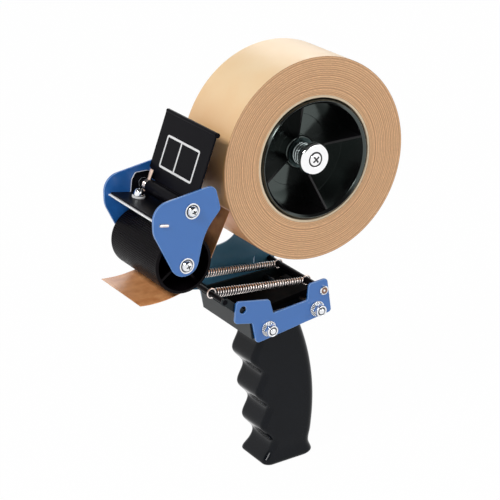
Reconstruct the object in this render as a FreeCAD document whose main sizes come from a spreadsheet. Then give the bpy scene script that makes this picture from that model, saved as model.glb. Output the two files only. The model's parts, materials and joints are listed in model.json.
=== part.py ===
import FreeCAD, Part
import math
import os
import Sketcher
from FreeCAD import Placement, Rotation, Vector

# Hand-held packing tape dispenser, in millimetres.
# +X points the way the tape is pulled, +Y to the open side where the roll slides on, +Z up.
# The origin is the middle of the flat butt of the handle.

# Driving sizes: name, number, meaning
SIZES = (
    ("plate_gap", 60.0, "clear width between the side plates of the frame"),
    ("plate_wall", 1.6, "sheet thickness of the blue plates"),
    ("run_gap", 0.3, "clearance between neighbours that move past each other"),
    ("fit_gap", 0.05, "radial clearance of a turning fit"),
    ("face_gap", 0.15, "axial clearance beside a washer that something turns on"),
    # handle
    ("pivot_x", 20.8, "front through bolt, on which the frame rocks"),
    ("pivot_z", 104.9, "height of the front through bolt"),
    ("stop_x", -14.4, "rear through bolt, which stops the rocking"),
    ("stop_z", 108.8, "height of the rear through bolt"),
    ("bolt_radius", 2.0, "through bolt"),
    ("rock_travel", 2.46, "travel of the frame along the rear bolt"),
    ("grip_belly_z", 44.0, "height where the back of the grip bulges most"),
    ("grip_back", 23.0, "reach of the grip behind the origin at its belly"),
    ("grip_back_curve", 0.00359, "curvature of the back of the grip"),
    ("grip_front", 14.9, "reach of the finger ridges at the butt"),
    ("grip_lean", 0.1033, "forward lean of the finger side"),
    ("finger_pitch", 24.2, "distance between finger hollows"),
    ("finger_depth", 5.9, "depth of a finger hollow"),
    ("finger_ridge_z", 75.5, "height of the top finger ridge"),
    ("grip_half_width", 14.5, "half the width of the grip"),
    ("grip_back_round", 6.0, "corner radius at the back of the grip"),
    ("grip_front_round", 4.0, "corner radius at the finger side"),
    ("butt_flare", 2.8, "how far the butt stands out round the grip"),
    ("butt_flare_side", 1.0, "how far the butt stands out at the sides"),
    ("butt_height", 3.0, "height of the widest line of the butt"),
    ("butt_round", 0.9, "rounding at the edge of the butt face"),
    ("neck_front_x", 26.5, "front of the block that fills the tray floor"),
    ("neck_back_x", -21.0, "rear of the block that fills the tray floor"),
    ("neck_half_width", 13.5, "half the width of that block"),
    ("neck_cover", 4.4, "material of that block above the bolts"),
    ("tray_wall", 1.2, "sheet thickness of the tray"),
    ("tray_front_x", 31.6, "front face of the tray at its floor"),
    ("tray_front_z", 99.7, "underside of the tray at the front"),
    ("tray_back_x", -26.0, "rear face of the tray"),
    ("tray_back_z", 106.8, "underside of the tray at the rear"),
    ("tray_lip_x", 32.6, "front face of the tray at its lip"),
    ("tray_lip_z", 111.0, "top of the front wall"),
    ("tray_side_z", 114.0, "top of the side walls"),
    ("tray_back_top_z", 115.0, "top of the rear wall"),
    ("bar_x", 48.7, "front spring bar"),
    ("bar_z", 128.5, "height of the front spring bar"),
    ("bar_radius", 1.6, "front spring bar"),
    ("bar_eye_radius", 2.8, "rounding of the tray arm round the bar"),
    # frame
    ("rear_rod_x", -19.6, "rear spring rod"),
    ("rear_rod_z", 119.8, "height of the rear spring rod"),
    ("rear_rod_radius", 2.0, "rear spring rod"),
    ("rear_rod_tail_radius", 1.6, "riveted end of the rear spring rod"),
    ("rivet_head_radius", 2.5, "riveted head of the rear spring rod"),
    ("rivet_head_height", 0.9, "riveted head of the rear spring rod"),
    ("spare_hole_x", 37.8, "open hole in the front ear of a bracket"),
    ("spare_hole_z", 121.4, "height of that hole"),
    ("spare_hole_radius", 2.4, "that hole"),
    # head
    ("roller_x", 74.5, "roller axle"),
    ("roller_z", 159.7, "height of the roller axle"),
    ("roller_radius", 18.5, "roller"),
    ("roller_side_gap", 1.4, "clearance of the roller to each side plate"),
    ("roller_wall", 1.9, "shell of the roller"),
    ("roller_hub_radius", 6.2, "hub tube of the roller"),
    ("roller_rib_setback", 4.0, "distance of the ribs from the roller ends"),
    ("roller_rib_wall", 1.7, "rib thickness of the roller"),
    ("roller_axle_radius", 3.0, "roller axle"),
    ("guard_back", 18.6, "cross rod that carries the guard, behind the bar's middle"),
    ("guard_rise", 4.7, "height of that rod above the bar's middle"),
    ("guard_rod_radius", 3.0, "cross rod"),
    ("head_screw_radius", 2.0, "shank of the screws into the cross rods"),
    ("head_screw_head_radius", 3.8, "screw head"),
    ("head_screw_head_height", 2.5, "screw head"),
    ("head_screw_length", 9.0, "shank length of the screws"),
    ("head_washer_radius", 4.8, "washer of the screws"),
    ("head_washer_wall", 0.9, "washer thickness of the screws"),
    ("slot_ahead", 12.9, "middle of the bar below the blade, ahead of the roller axle"),
    ("slot_width", 6.0, "width of that bar"),
    ("slot_height", 1.4, "thickness of that bar"),
    ("slot_rise", 28.0, "height of the middle of that bar above the roller axle"),
    ("blade_pitch", 12.0, "upward slope of the blade towards its teeth, in degrees"),
    ("blade_wall", 0.8, "blade thickness"),
    ("blade_reach", 5.6, "tips of the blade teeth ahead of the bar's middle"),
    ("blade_tail", 13.0, "rear edge of the blade behind the bar's middle"),
    ("blade_side_gap", 1.0, "clearance of the blade to each side plate"),
    ("tooth_depth", 1.5, "depth of the blade teeth"),
    ("tooth_count", 30.0, "number of blade teeth"),
    ("holder_wall", 1.2, "sheet thickness of the blade holder"),
    ("holder_setback", 1.7, "how far the blade teeth stand ahead of the holder"),
    ("holder_side_gap", 0.4, "clearance of the blade holder's ears to the side plates"),
    ("clamp_screw_back", 8.2, "clamp screws behind the bar's middle"),
    ("clamp_screw_y", 16.0, "clamp screws either side of the middle"),
    ("clamp_screw_radius", 2.0, "shank of a clamp screw"),
    ("clamp_washer_radius", 4.4, "washer of a clamp screw"),
    ("clamp_washer_wall", 0.9, "washer thickness of a clamp screw"),
    ("clamp_head_radius", 3.7, "head of a clamp screw"),
    ("clamp_head_height", 3.4, "head of a clamp screw"),
    ("clamp_nut_height", 2.6, "nut below the blade"),
    # guard plate
    ("guard_side_gap", 0.4, "clearance of the guard plate to the line of each side plate"),
    ("guard_root_gap", 2.2, "clearance of its narrower root to each side plate"),
    ("guard_back_lean", 11.8, "how far the top of the guard plate leans back"),
    ("guard_height", 27.9, "height of the guard plate above the top of the head plates"),
    ("guard_bend_back", 8.1, "front face of the guard plate at that line, behind its rod"),
    ("guard_bend_rise", 14.8, "height of that line above the rod"),
    ("guard_skirt", 6.8, "how far the guard keeps its full width below that line"),
    ("guard_wall", 1.2, "sheet thickness of the guard"),
    ("guard_bead_radius", 1.5, "rolled top edge of the guard"),
    ("guard_curl_half_width", 19.0, "half the width of the curl on the cross rod"),
    ("guard_spring_wire", 0.9, "wire of the guard spring"),
    ("guard_spring_turns_width", 3.6, "width of the guard spring's turns"),
    ("guard_spring_leg", 7.2, "leg of the guard spring up the guard"),
    # roll side
    ("axle_x", -20.5, "axis of the tape roll"),
    ("axle_z", 202.7, "height of the axis of the tape roll"),
    ("axle_radius", 4.0, "hub axle"),
    ("axle_end_y", 26.2, "near end of the hub axle"),
    ("axle_collar_radius", 8.5, "collar of the hub axle"),
    ("axle_collar_wall", 1.6, "collar of the hub axle"),
    ("axle_nut_across", 13.0, "nut of the hub axle across its flats"),
    ("axle_nut_height", 6.0, "nut of the hub axle"),
    ("tape_width", 50.0, "tape width"),
    ("tape_outer_radius", 63.2, "outer radius of the tape roll"),
    ("core_bore_radius", 38.1, "bore of the cardboard core, three inches across"),
    ("core_wall", 1.5, "wall of the cardboard core"),
    ("hub_grip_gap", 0.6, "clearance of the core on the hub"),
    ("hub_wall", 2.4, "rim wall of the hub"),
    ("hub_overhang", 1.4, "how far the hub stands out of the tape"),
    ("hub_web_wall", 3.0, "web of the hub"),
    ("hub_boss_radius", 10.5, "boss of the hub"),
    ("hub_boss_front_y", 8.4, "near end of the boss"),
    ("hub_rib_wall", 1.6, "rib thickness of the hub"),
    ("hub_rib_rise", 1.6, "how far the ribs stand out of the boss at their root"),
    ("hub_rib_rim_y", 25.0, "near edge of the ribs at the rim"),
    ("hub_rib_far_y", 12.0, "far edge of the ribs"),
    ("hub_rib_turn", 77.5, "direction of the first rib"),
    ("brake_washer_radius", 9.3, "washer below the brake spring"),
    ("brake_washer_wall", 1.2, "washer below the brake spring"),
    ("brake_spring_radius", 7.6, "brake spring"),
    ("brake_spring_wire", 1.5, "wire of the brake spring"),
    ("knob_radius", 10.0, "brake knob"),
    ("knob_height", 5.0, "brake knob"),
    ("knob_flutes", 30.0, "number of flutes round the knob"),
    # tape between the roll and the end
    ("tape_wall", 0.3, "thickness of the tape strip"),
    ("peel_angle", -17.5, "where the tape leaves the roll"),
    ("leave_slope", -11.6, "slope of the tape where it leaves the roller"),
    ("tail_straight", 8.0, "straight start of the tape end"),
    ("tail_radius", 70.0, "curl radius of the tape end"),
    ("tail_turn", 20.0, "turn of the tape end"),
    # springs
    ("spring_near_y", 12.5, "near extension spring"),
    ("spring_far_y", -20.5, "far extension spring"),
    ("spring_front_radius", 3.1, "outer radius of an extension spring at its front"),
    ("spring_rear_radius", 2.3, "outer radius of an extension spring at its rear"),
    ("spring_wire", 0.8, "wire of an extension spring"),
    ("hook_radius", 2.9, "middle radius of a spring hook"),
    # bolts
    ("washer_radius", 4.9, "washer of the through bolts"),
    ("washer_wall", 0.9, "washer of the through bolts"),
    ("nut_across", 7.0, "lock nut across its flats"),
    ("nut_height", 3.2, "hexagon height of the lock nut"),
    ("nut_dome_radius", 2.95, "round cap of the lock nut"),
    ("nut_dome_height", 2.4, "round cap of the lock nut"),
    ("bolt_head_across", 7.0, "through bolt head across its flats"),
    ("bolt_head_height", 2.8, "through bolt head"),
)

# Outlines: across, up and corner radius
# The cheek of the head, measured from the roller axle
CHEEK_TOE = (-1.2, -25.3, 9.4)
CHEEK_FRONT = ((20.2, 23.8, 14.0), (19.5, 40.7, 11.0))
CHEEK_REAR = ((-21.9, 45.3, 5.0), (-24.9, 29.6, 3.5), (-13.2, 17.7, 35.0))
# The bracket beside the tray, up to its front ear, and the rear ears of both brackets
BRACKET_FOOT = (
    (-25.0, 104.3, 2.0), (29.5, 97.0, 2.5), (31.7, 111.0, 1.0), (44.2, 113.8, 2.5),
    (42.2, 127.9, 2.5), (18.9, 123.4, 2.5), (16.7, 113.8, 1.0), (-8.0, 115.8, 1.0),
)
NEAR_REAR_EAR = ((-9.4, 126.2, 2.5), (-22.7, 127.1, 2.5))
FAR_REAR_EAR = ((-9.4, 130.0, 2.5), (-22.7, 127.1, 2.5))
# The far side plate: its top behind the hub, measured from the hub axle, its foot beside
# the tray, and its throat, measured from the roller axle
SIDE_TOP = ((-23.0, 14.8, 20.0), (-25.0, -16.7, 22.0))
SIDE_FOOT = (
    (-7.0, 123.5, 3.0), (-6.5, 117.2, 1.5), (-23.0, 117.2, 2.0), (-23.0, 105.6, 3.0),
    (28.5, 98.8, 3.0), (30.8, 110.8, 1.5), (42.5, 121.2, 3.0), (42.5, 135.5, 5.0),
    (1.0, 140.6, 15.0), (1.0, 177.0, 15.0),
)
SIDE_THROAT = ((-16.0, 20.8, 12.0),)
# The ear of the blade holder, in the blade's own directions: its foot from the middle of
# the bar, and the corners round the guard rod from the middle of that rod
EAR_FOOT = ((-17.5, 1.5, 2.0), (-9.7, 1.5, 0.0))
EAR_TOP = ((7.92, 1.94, 2.0), (6.02, 6.14, 1.5), (-4.18, 7.94, 3.0), (-7.18, -3.46, 3.0))


class Dim:
    """A number together with the spreadsheet expression that it comes from."""

    def __init__(self, value, text):
        self.value = float(value)
        self.text = text

    def __float__(self):
        return self.value

    def __add__(self, other):
        other = as_dim(other)
        return Dim(self.value + other.value, f"({self.text} + {other.text})")

    def __radd__(self, other):
        return as_dim(other) + self

    def __sub__(self, other):
        other = as_dim(other)
        return Dim(self.value - other.value, f"({self.text} - {other.text})")

    def __rsub__(self, other):
        return as_dim(other) - self

    def __mul__(self, other):
        other = as_dim(other)
        return Dim(self.value * other.value, f"({self.text} * {other.text})")

    def __rmul__(self, other):
        return as_dim(other) * self

    def __truediv__(self, other):
        other = as_dim(other)
        return Dim(self.value / other.value, f"({self.text} / {other.text})")

    def __neg__(self):
        return Dim(-self.value, f"(0 - {self.text})")


def as_dim(item):
    if isinstance(item, Dim):
        return item
    number = float(item)
    return Dim(number, f"{number:.6f}" if number >= 0 else f"(0 - {-number:.6f})")


class Sizes:
    """Every driving size, read back from the sheet."""


doc = FreeCAD.newDocument("tape_dispenser")
sheet = doc.addObject("Spreadsheet::Sheet", "sizes")
for row, (alias, number, meaning) in enumerate(SIZES, start=1):
    sheet.set(f"A{row}", meaning)
    sheet.set(f"B{row}", str(number))
    sheet.setAlias(f"B{row}", alias)
doc.recompute()
S = Sizes()
for alias, number, meaning in SIZES:
    setattr(S, alias, Dim(sheet.get(alias), f"sizes.{alias}"))

ALONG_Y = Rotation(Vector(1, 0, 0), -90)
NODES = []


def bind(thing, prop, size):
    thing.setExpression(prop, as_dim(size).text)


def node(thing, label):
    """Hand over a finished sub-part under its own label."""
    thing.Label = label
    NODES.append(thing)
    return thing


def place(thing, x=0, y=0, z=0, turn=None):
    thing.Placement = Placement(Vector(float(x), float(y), float(z)), turn or Rotation())
    for axis, size in zip("xyz", (x, y, z)):
        bind(thing, f"Placement.Base.{axis}", size)


# Part primitives

def rod(name, radius, x, z, y_from, y_to):
    """Round bar along Y."""
    bar = doc.addObject("Part::Cylinder", name)
    bind(bar, "Radius", radius)
    bind(bar, "Height", as_dim(y_to) - y_from)
    place(bar, x, y_from, z, ALONG_Y)
    return bar


def post(name, radius, x, y, z_from, z_to):
    """Round bar along Z."""
    bar = doc.addObject("Part::Cylinder", name)
    bind(bar, "Radius", radius)
    bind(bar, "Height", as_dim(z_to) - z_from)
    place(bar, x, y, z_from)
    return bar


def block(name, x_from, x_to, y_from, y_to, z_from, z_to):
    brick = doc.addObject("Part::Box", name)
    bind(brick, "Length", as_dim(x_to) - x_from)
    bind(brick, "Width", as_dim(y_to) - y_from)
    bind(brick, "Height", as_dim(z_to) - z_from)
    place(brick, x_from, y_from, z_from)
    return brick


def hexagon(name, across, x, z, y_from, y_to):
    prism = doc.addObject("Part::Prism", name)
    prism.Polygon = 6
    bind(prism, "Circumradius", across / math.sqrt(3))
    bind(prism, "Height", as_dim(y_to) - y_from)
    place(prism, x, y_from, z, ALONG_Y)
    return prism


def ball(name, radius, x, y, z):
    sphere = doc.addObject("Part::Sphere", name)
    bind(sphere, "Radius", radius)
    place(sphere, x, y, z)
    return sphere


def fuse(name, *pieces):
    joined = doc.addObject("Part::MultiFuse", name)
    joined.Shapes = list(pieces)
    joined.Refine = True
    return joined


def cut(name, base, *tools):
    result = doc.addObject("Part::Cut", name)
    result.Base = base
    result.Tool = tools[0] if len(tools) == 1 else fuse(name + "_tools", *tools)
    return result


def common(name, first, second):
    shared = doc.addObject("Part::MultiCommon", name)
    shared.Shapes = [first, second]
    return shared


def group(name, pieces):
    """Identical pieces that share a node and stay separate solids."""
    together = doc.addObject("Part::Compound", name)
    together.Links = list(pieces)
    return together


# Bodies and sketches

def new_body(label):
    body = doc.addObject("PartDesign::Body", label)
    return node(body, label)


def new_sketch(body, name, role, offset=0):
    """Sketch on one of the body's own origin planes, moved along its normal."""
    plane = [item for item in body.Origin.OriginFeatures if item.Role == role][0]
    sketch = body.newObject("Sketcher::SketchObject", name)
    sketch.AttachmentSupport = [(plane, "")]
    sketch.MapMode = "FlatFace"
    bind(sketch, "AttachmentOffset.Base.z", offset)
    return sketch


def draw_polygon(sketch, corners):
    """Closed outline whose corners are held by dimensions from the origin."""
    start = sketch.GeometryCount
    total = len(corners)
    points = [Vector(float(across), float(up), 0) for across, up in corners]
    for index, point in enumerate(points):
        sketch.addGeometry(Part.LineSegment(point, points[(index + 1) % total]), False)
    for index in range(total):
        after = start + (index + 1) % total
        sketch.addConstraint(Sketcher.Constraint("Coincident", start + index, 2, after, 1))
    for index, corner in enumerate(corners):
        for kind, size in zip(("DistanceX", "DistanceY"), corner):
            held = Sketcher.Constraint(kind, -1, 1, start + index, 1, float(size))
            name = f"corner_{start + index}_{kind[-1].lower()}"
            sketch.renameConstraint(sketch.addConstraint(held), name)
            if isinstance(size, Dim):
                bind(sketch, f"Constraints.{name}", size)


def draw_circle(sketch, across, up, radius):
    place_on = Vector(float(across), float(up), 0)
    ring = sketch.addGeometry(Part.Circle(place_on, Vector(0, 0, 1), float(radius)), False)
    held = (
        ("across", Sketcher.Constraint("DistanceX", -1, 1, ring, 3, float(across)), across),
        ("up", Sketcher.Constraint("DistanceY", -1, 1, ring, 3, float(up)), up),
        ("radius", Sketcher.Constraint("Radius", ring, float(radius)), radius),
    )
    for word, constraint, size in held:
        name = f"hole_{ring}_{word}"
        sketch.renameConstraint(sketch.addConstraint(constraint), name)
        bind(sketch, f"Constraints.{name}", size)


def pad(body, name, sketch, length, both_ways=False):
    feature = body.newObject("PartDesign::Pad", name)
    feature.Profile = sketch
    bind(feature, "Length", length)
    if both_ways:
        feature.SideType = "Symmetric"
    doc.recompute()
    return feature


def pocket_through(body, name, sketch):
    """Cut right through in both directions; the volume shows that it cut."""
    before = body.Tip.Shape.Volume
    feature = body.newObject("PartDesign::Pocket", name)
    feature.Profile = sketch
    feature.Type = "ThroughAll"
    feature.SideType = "Symmetric"
    doc.recompute()
    if not feature.Shape.Volume < before:
        raise ValueError(f"{name} cuts nothing")
    return feature


def revolve(body, name, sketch):
    feature = body.newObject("PartDesign::Revolution", name)
    feature.Profile = sketch
    feature.ReferenceAxis = (sketch, ["V_Axis"])
    feature.Angle = 360.0
    doc.recompute()
    return feature


def around(body, name, feature, count):
    """Repeat a feature round the body's own Y axis."""
    pattern = body.newObject("PartDesign::PolarPattern", name)
    pattern.Originals = [feature]
    axis = [item for item in body.Origin.OriginFeatures if item.Role == "Y_Axis"][0]
    pattern.Axis = (axis, [""])
    pattern.Angle = 360.0
    bind(pattern, "Occurrences", count)
    body.Tip = pattern
    doc.recompute()
    return pattern


def round_corners(body, label, outline):
    """Round the edges across the plate, one fillet for each radius."""
    for radius in sorted({corner[2] for corner in outline if corner[2] > 0}):
        base = body.Tip
        spots = [corner[:2] for corner in outline if corner[2] == radius]
        edges = []
        for index, edge in enumerate(base.Shape.Edges, start=1):
            ends = [vertex.Point for vertex in edge.Vertexes]
            if len(ends) < 2 or abs(ends[0].y - ends[1].y) < 0.1:
                continue
            for across, up in spots:
                if all(math.hypot(end.x - across, end.z - up) < 0.01 for end in ends):
                    edges.append(f"Edge{index}")
        feature = body.newObject("PartDesign::Fillet", f"{label}_round_{len(body.Group)}")
        feature.Base = (base, edges)
        feature.Radius = radius
        doc.recompute()


def plate(label, near_face, wall, outline, holes=()):
    """Flat sheet across Y, its near face at near_face, with round holes."""
    body = new_body(label)
    sketch = new_sketch(body, label + "_outline", "XZ_Plane", -as_dim(near_face))
    draw_polygon(sketch, [corner[:2] for corner in outline])
    pad(body, label + "_sheet", sketch, wall)
    round_corners(body, label, outline)
    if holes:
        bores = new_sketch(body, label + "_holes", "XZ_Plane")
        for across, up, radius in holes:
            draw_circle(bores, across, up, radius)
        pocket_through(body, label + "_bores", bores)
    return body


def side_outline(sketch_body, name, corners, half_width):
    """Pad an outline to both sides of the middle plane."""
    sketch = new_sketch(sketch_body, name + "_outline", "XZ_Plane")
    draw_polygon(sketch, corners)
    return pad(sketch_body, name, sketch, as_dim(half_width) * 2, both_ways=True)


# Shared places

inner_y = S.plate_gap / 2
outer_y = inner_y + S.plate_wall
bracket_far_y = -(outer_y + S.plate_wall)
roll_half = S.tape_width / 2
tray_half = inner_y - S.run_gap
floor_slope = (S.tray_back_z - S.tray_front_z) / (S.tray_front_x - S.tray_back_x)
slot_x = S.roller_x + S.slot_ahead
slot_z = S.roller_z + S.slot_rise
guard_x = slot_x - S.guard_back
guard_z = slot_z + S.guard_rise

pitch_cos = math.cos(math.radians(float(S.blade_pitch)))
pitch_sin = math.sin(math.radians(float(S.blade_pitch)))
blade_under = S.slot_height / 2
blade_over = blade_under + S.blade_wall
holder_over = blade_over + S.holder_wall


def around_place(x, z, outline):
    """Outline whose corners are measured from a place."""
    return tuple((x + across, z + up, radius) for across, up, radius in outline)


def on_blade(ahead, above):
    """Place in X and Z from distances along and across the sloping blade."""
    ahead, above = as_dim(ahead), as_dim(above)
    return (
        slot_x + ahead * pitch_cos - above * pitch_sin,
        slot_z + ahead * pitch_sin + above * pitch_cos,
    )


def slope_up(thing):
    """Set a piece that is drawn flat onto the slope of the blade."""
    turn = Rotation(Vector(0, 1, 0), -float(S.blade_pitch))
    place(thing, slot_x, 0, slot_z, turn)
    return thing


def rod_on_blade():
    """The guard rod in the blade's own directions from the middle of the bar."""
    away_x = guard_x - slot_x
    away_z = guard_z - slot_z
    return (away_x * pitch_cos + away_z * pitch_sin, away_z * pitch_cos - away_x * pitch_sin)


def tray_under(x, lift=0):
    """Height of the tray's underside at x, plus a lift."""
    return S.tray_front_z + (S.tray_front_x - x) * floor_slope + lift


# Handle

def grip_section(z, flare, flare_side, name, body):
    """Rounded rectangle across the grip at a height."""
    ridge = float(S.grip_front) + float(S.grip_lean) * (z - float(S.butt_height))
    phase = 2 * math.pi * (z - float(S.finger_ridge_z)) / float(S.finger_pitch)
    front = ridge - float(S.finger_depth) * (1 - math.cos(phase)) / 2 + flare
    belly = float(S.grip_back_curve) * (z - float(S.grip_belly_z)) ** 2
    back = -float(S.grip_back) + belly - flare
    half = float(S.grip_half_width) + flare_side
    front_round = float(S.grip_front_round)
    back_round = float(S.grip_back_round)
    sketch = new_sketch(body, name, "XY_Plane", z)
    corners = (
        (front - front_round, -half + front_round, front_round, -90),
        (front - front_round, half - front_round, front_round, 0),
        (back + back_round, half - back_round, back_round, 90),
        (back + back_round, -half + back_round, back_round, 180),
    )
    arcs = []
    for x, y, radius, start in corners:
        circle = Part.Circle(Vector(x, y, 0), Vector(0, 0, 1), radius)
        arcs.append(Part.ArcOfCircle(circle, math.radians(start), math.radians(start + 90)))
    for index, arc in enumerate(arcs):
        sketch.addGeometry(arc, False)
        following = arcs[(index + 1) % len(arcs)]
        sketch.addGeometry(Part.LineSegment(arc.EndPoint, following.StartPoint), False)
    return sketch


def make_grip():
    """Moulded grip with finger hollows, and the block that the bolts pass through."""
    body = new_body("handle_grip")
    quarter = float(S.finger_pitch) / 4
    ridge = float(S.finger_ridge_z)
    top = float(tray_under(S.tray_back_x)) + 2
    lowest_hollow = ridge - 10 * quarter
    heights = [lowest_hollow + step * quarter for step in range(int((top - lowest_hollow) / quarter) + 1)]
    flare = float(S.butt_flare)
    side = float(S.butt_flare_side)
    butt = float(S.butt_height)
    trim = float(S.butt_round)
    sections = [grip_section(0.0, flare - trim, side - trim, "butt_face", body)]
    sections.append(grip_section(butt, flare, side, "butt_edge", body))
    sections.append(grip_section(butt * 2.2, flare * 0.25, side * 0.2, "butt_waist", body))
    for count, z in enumerate(heights):
        sections.append(grip_section(z, 0.0, 0.0, f"grip_section_{count}", body))
    sections.append(grip_section(top, 0.0, 0.0, "grip_top", body))
    doc.recompute()
    loft = body.newObject("PartDesign::AdditiveLoft", "grip_loft")
    loft.Profile = sections[0]
    loft.Sections = sections[1:]
    loft.Ruled = False
    doc.recompute()
    # trim the top flush with the underside of the tray
    over = new_sketch(body, "grip_trim_outline", "XZ_Plane")
    far_front = S.tray_front_x * 2
    far_back = S.tray_back_x * 2
    draw_polygon(over, (
        (far_back, tray_under(far_back)), (far_front, tray_under(far_front)),
        (far_front, S.tray_back_z * 2), (far_back, S.tray_back_z * 2),
    ))
    pocket_through(body, "grip_trim", over)
    # block through the floor of the tray
    cover = S.pivot_z - tray_under(S.pivot_x) + S.bolt_radius + S.neck_cover - 2
    side_outline(body, "neck", (
        (S.neck_back_x, tray_under(S.neck_back_x, -1)), (S.neck_front_x, tray_under(S.neck_front_x, -1)),
        (S.neck_front_x, tray_under(S.neck_front_x, cover)), (S.neck_back_x, tray_under(S.neck_back_x, cover)),
    ), S.neck_half_width)
    bores = new_sketch(body, "neck_holes", "XZ_Plane")
    draw_circle(bores, S.pivot_x, S.pivot_z, S.bolt_radius + S.fit_gap)
    draw_circle(bores, S.stop_x, S.stop_z, S.bolt_radius + S.fit_gap)
    pocket_through(body, "neck_bores", bores)


def make_tray():
    """Pressed tray on the grip, open on top, with arms that hold the front spring bar."""
    body = new_body("handle_tray")
    eye = S.bar_eye_radius
    arm_foot = 4.0
    side_outline(body, "tray_block", (
        (S.tray_back_x, S.tray_back_z), (S.tray_front_x, S.tray_front_z),
        (S.tray_lip_x, S.tray_lip_z), (S.bar_x - eye * 0.2, S.bar_z - eye * 1.15),
        (S.bar_x + eye, S.bar_z - eye * 0.3), (S.bar_x + eye * 0.7, S.bar_z + eye * 0.85),
        (S.bar_x - eye * 0.8, S.bar_z + eye * 0.6), (S.tray_lip_x - arm_foot, S.tray_side_z),
        (S.tray_back_x + arm_foot, S.tray_side_z), (S.tray_back_x + arm_foot, S.tray_back_top_z),
        (S.tray_back_x, S.tray_back_top_z),
    ), tray_half)
    floor = S.tray_wall
    hollow = new_sketch(body, "tray_hollow_outline", "XZ_Plane")
    front_inner = S.tray_front_x - S.tray_wall
    back_inner = S.tray_back_x + S.tray_wall
    beyond_x = S.bar_x + eye * 2
    beyond_z = S.bar_z + eye * 2
    draw_polygon(hollow, (
        (back_inner, tray_under(back_inner, floor)), (front_inner, tray_under(front_inner, floor)),
        (S.tray_lip_x - S.tray_wall, S.tray_lip_z), (beyond_x, S.tray_lip_z),
        (beyond_x, beyond_z), (back_inner, beyond_z),
    ))
    before = body.Tip.Shape.Volume
    hollow_cut = body.newObject("PartDesign::Pocket", "tray_hollow")
    hollow_cut.Profile = hollow
    bind(hollow_cut, "Length", (tray_half - S.tray_wall) * 2)
    hollow_cut.SideType = "Symmetric"
    doc.recompute()
    if not hollow_cut.Shape.Volume < before * 0.5:
        raise ValueError("the tray is not hollow")
    opening = new_sketch(body, "neck_opening_outline", "XY_Plane", S.tray_front_z)
    half = S.neck_half_width
    draw_polygon(opening, (
        (S.neck_back_x, -half), (S.neck_front_x, -half), (S.neck_front_x, half), (S.neck_back_x, half),
    ))
    pocket_through(body, "neck_opening", opening)
    bores = new_sketch(body, "tray_holes", "XZ_Plane")
    draw_circle(bores, S.pivot_x, S.pivot_z, S.bolt_radius + S.fit_gap)
    draw_circle(bores, S.stop_x, S.stop_z, S.bolt_radius + S.fit_gap)
    draw_circle(bores, S.bar_x, S.bar_z, S.bar_radius)
    pocket_through(body, "tray_bores", bores)


def make_through_bolts():
    """Two bolts across the handle, with washers and domed lock nuts on the near side."""
    far_washer = bracket_far_y - S.face_gap - S.washer_wall
    near_face = outer_y + S.face_gap
    near_washer = near_face + S.washer_wall
    nut_end = near_washer + S.nut_height
    bolts = []
    washers = []
    nuts = []
    for name, x, z in (("pivot", S.pivot_x, S.pivot_z), ("stop", S.stop_x, S.stop_z)):
        head = hexagon(f"{name}_bolt_head", S.bolt_head_across, x, z, far_washer - S.bolt_head_height, far_washer)
        shank_end = nut_end + S.nut_dome_height / 3
        shank = rod(f"{name}_bolt_shank", S.bolt_radius, x, z, far_washer, shank_end)
        bolts.append(fuse(f"{name}_bolt", head, shank))
        bore = rod(f"{name}_nut_bore", S.bolt_radius + S.fit_gap, x, z, near_washer - 1, shank_end + S.fit_gap)
        dome_ball = ball(f"{name}_nut_ball", S.nut_dome_radius * 1.15, x, nut_end - S.nut_dome_radius * 0.25, z)
        dome_post = rod(f"{name}_nut_post", S.nut_dome_radius, x, z, nut_end - 1, nut_end + S.nut_dome_height)
        dome = common(f"{name}_nut_dome", dome_post, dome_ball)
        hexed = hexagon(f"{name}_nut_hexagon", S.nut_across, x, z, near_washer, nut_end)
        nuts.append(cut(f"{name}_nut", fuse(f"{name}_nut_body", hexed, dome), bore))
        for side, start in (("near", near_face), ("far", far_washer)):
            disc = rod(f"{name}_{side}_washer_disc", S.washer_radius, x, z, start, start + S.washer_wall)
            eye = rod(f"{name}_{side}_washer_eye", S.bolt_radius + S.fit_gap, x, z, start - 1, start + 2)
            washers.append(cut(f"{name}_{side}_washer", disc, eye))
    node(group("bolt_group", bolts), "through_bolts")
    node(group("washer_group", washers), "bolt_washers")
    node(group("nut_group", nuts), "lock_nuts")


def make_front_bar():
    """Bar across the tray arms that the springs hook on."""
    reach = tray_half - S.run_gap / 2
    node(rod("front_bar", S.bar_radius, S.bar_x, S.bar_z, -reach, reach), "front_spring_bar")


# Frame

def travel_slot(body, label):
    """Arc slot for the rear bolt, long enough for the rocking travel."""
    radius = S.bolt_radius + S.fit_gap * 2
    slot = new_sketch(body, label + "_slot", "XZ_Plane")
    x = S.stop_x
    lean = S.rock_travel * (S.stop_z - S.pivot_z) / (S.pivot_x - S.stop_x)
    draw_polygon(slot, (
        (x - radius, S.stop_z), (x + radius, S.stop_z),
        (x + lean + radius, S.stop_z + S.rock_travel), (x + lean - radius, S.stop_z + S.rock_travel),
    ))
    pocket_through(body, label + "_slot_side", slot)
    rounds = new_sketch(body, label + "_slot_ends", "XZ_Plane")
    draw_circle(rounds, x, S.stop_z, radius)
    pocket_through(body, label + "_slot_low", rounds)
    upper = new_sketch(body, label + "_slot_top", "XZ_Plane")
    draw_circle(upper, x + lean, S.stop_z + S.rock_travel, radius)
    pocket_through(body, label + "_slot_high", upper)


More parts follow.
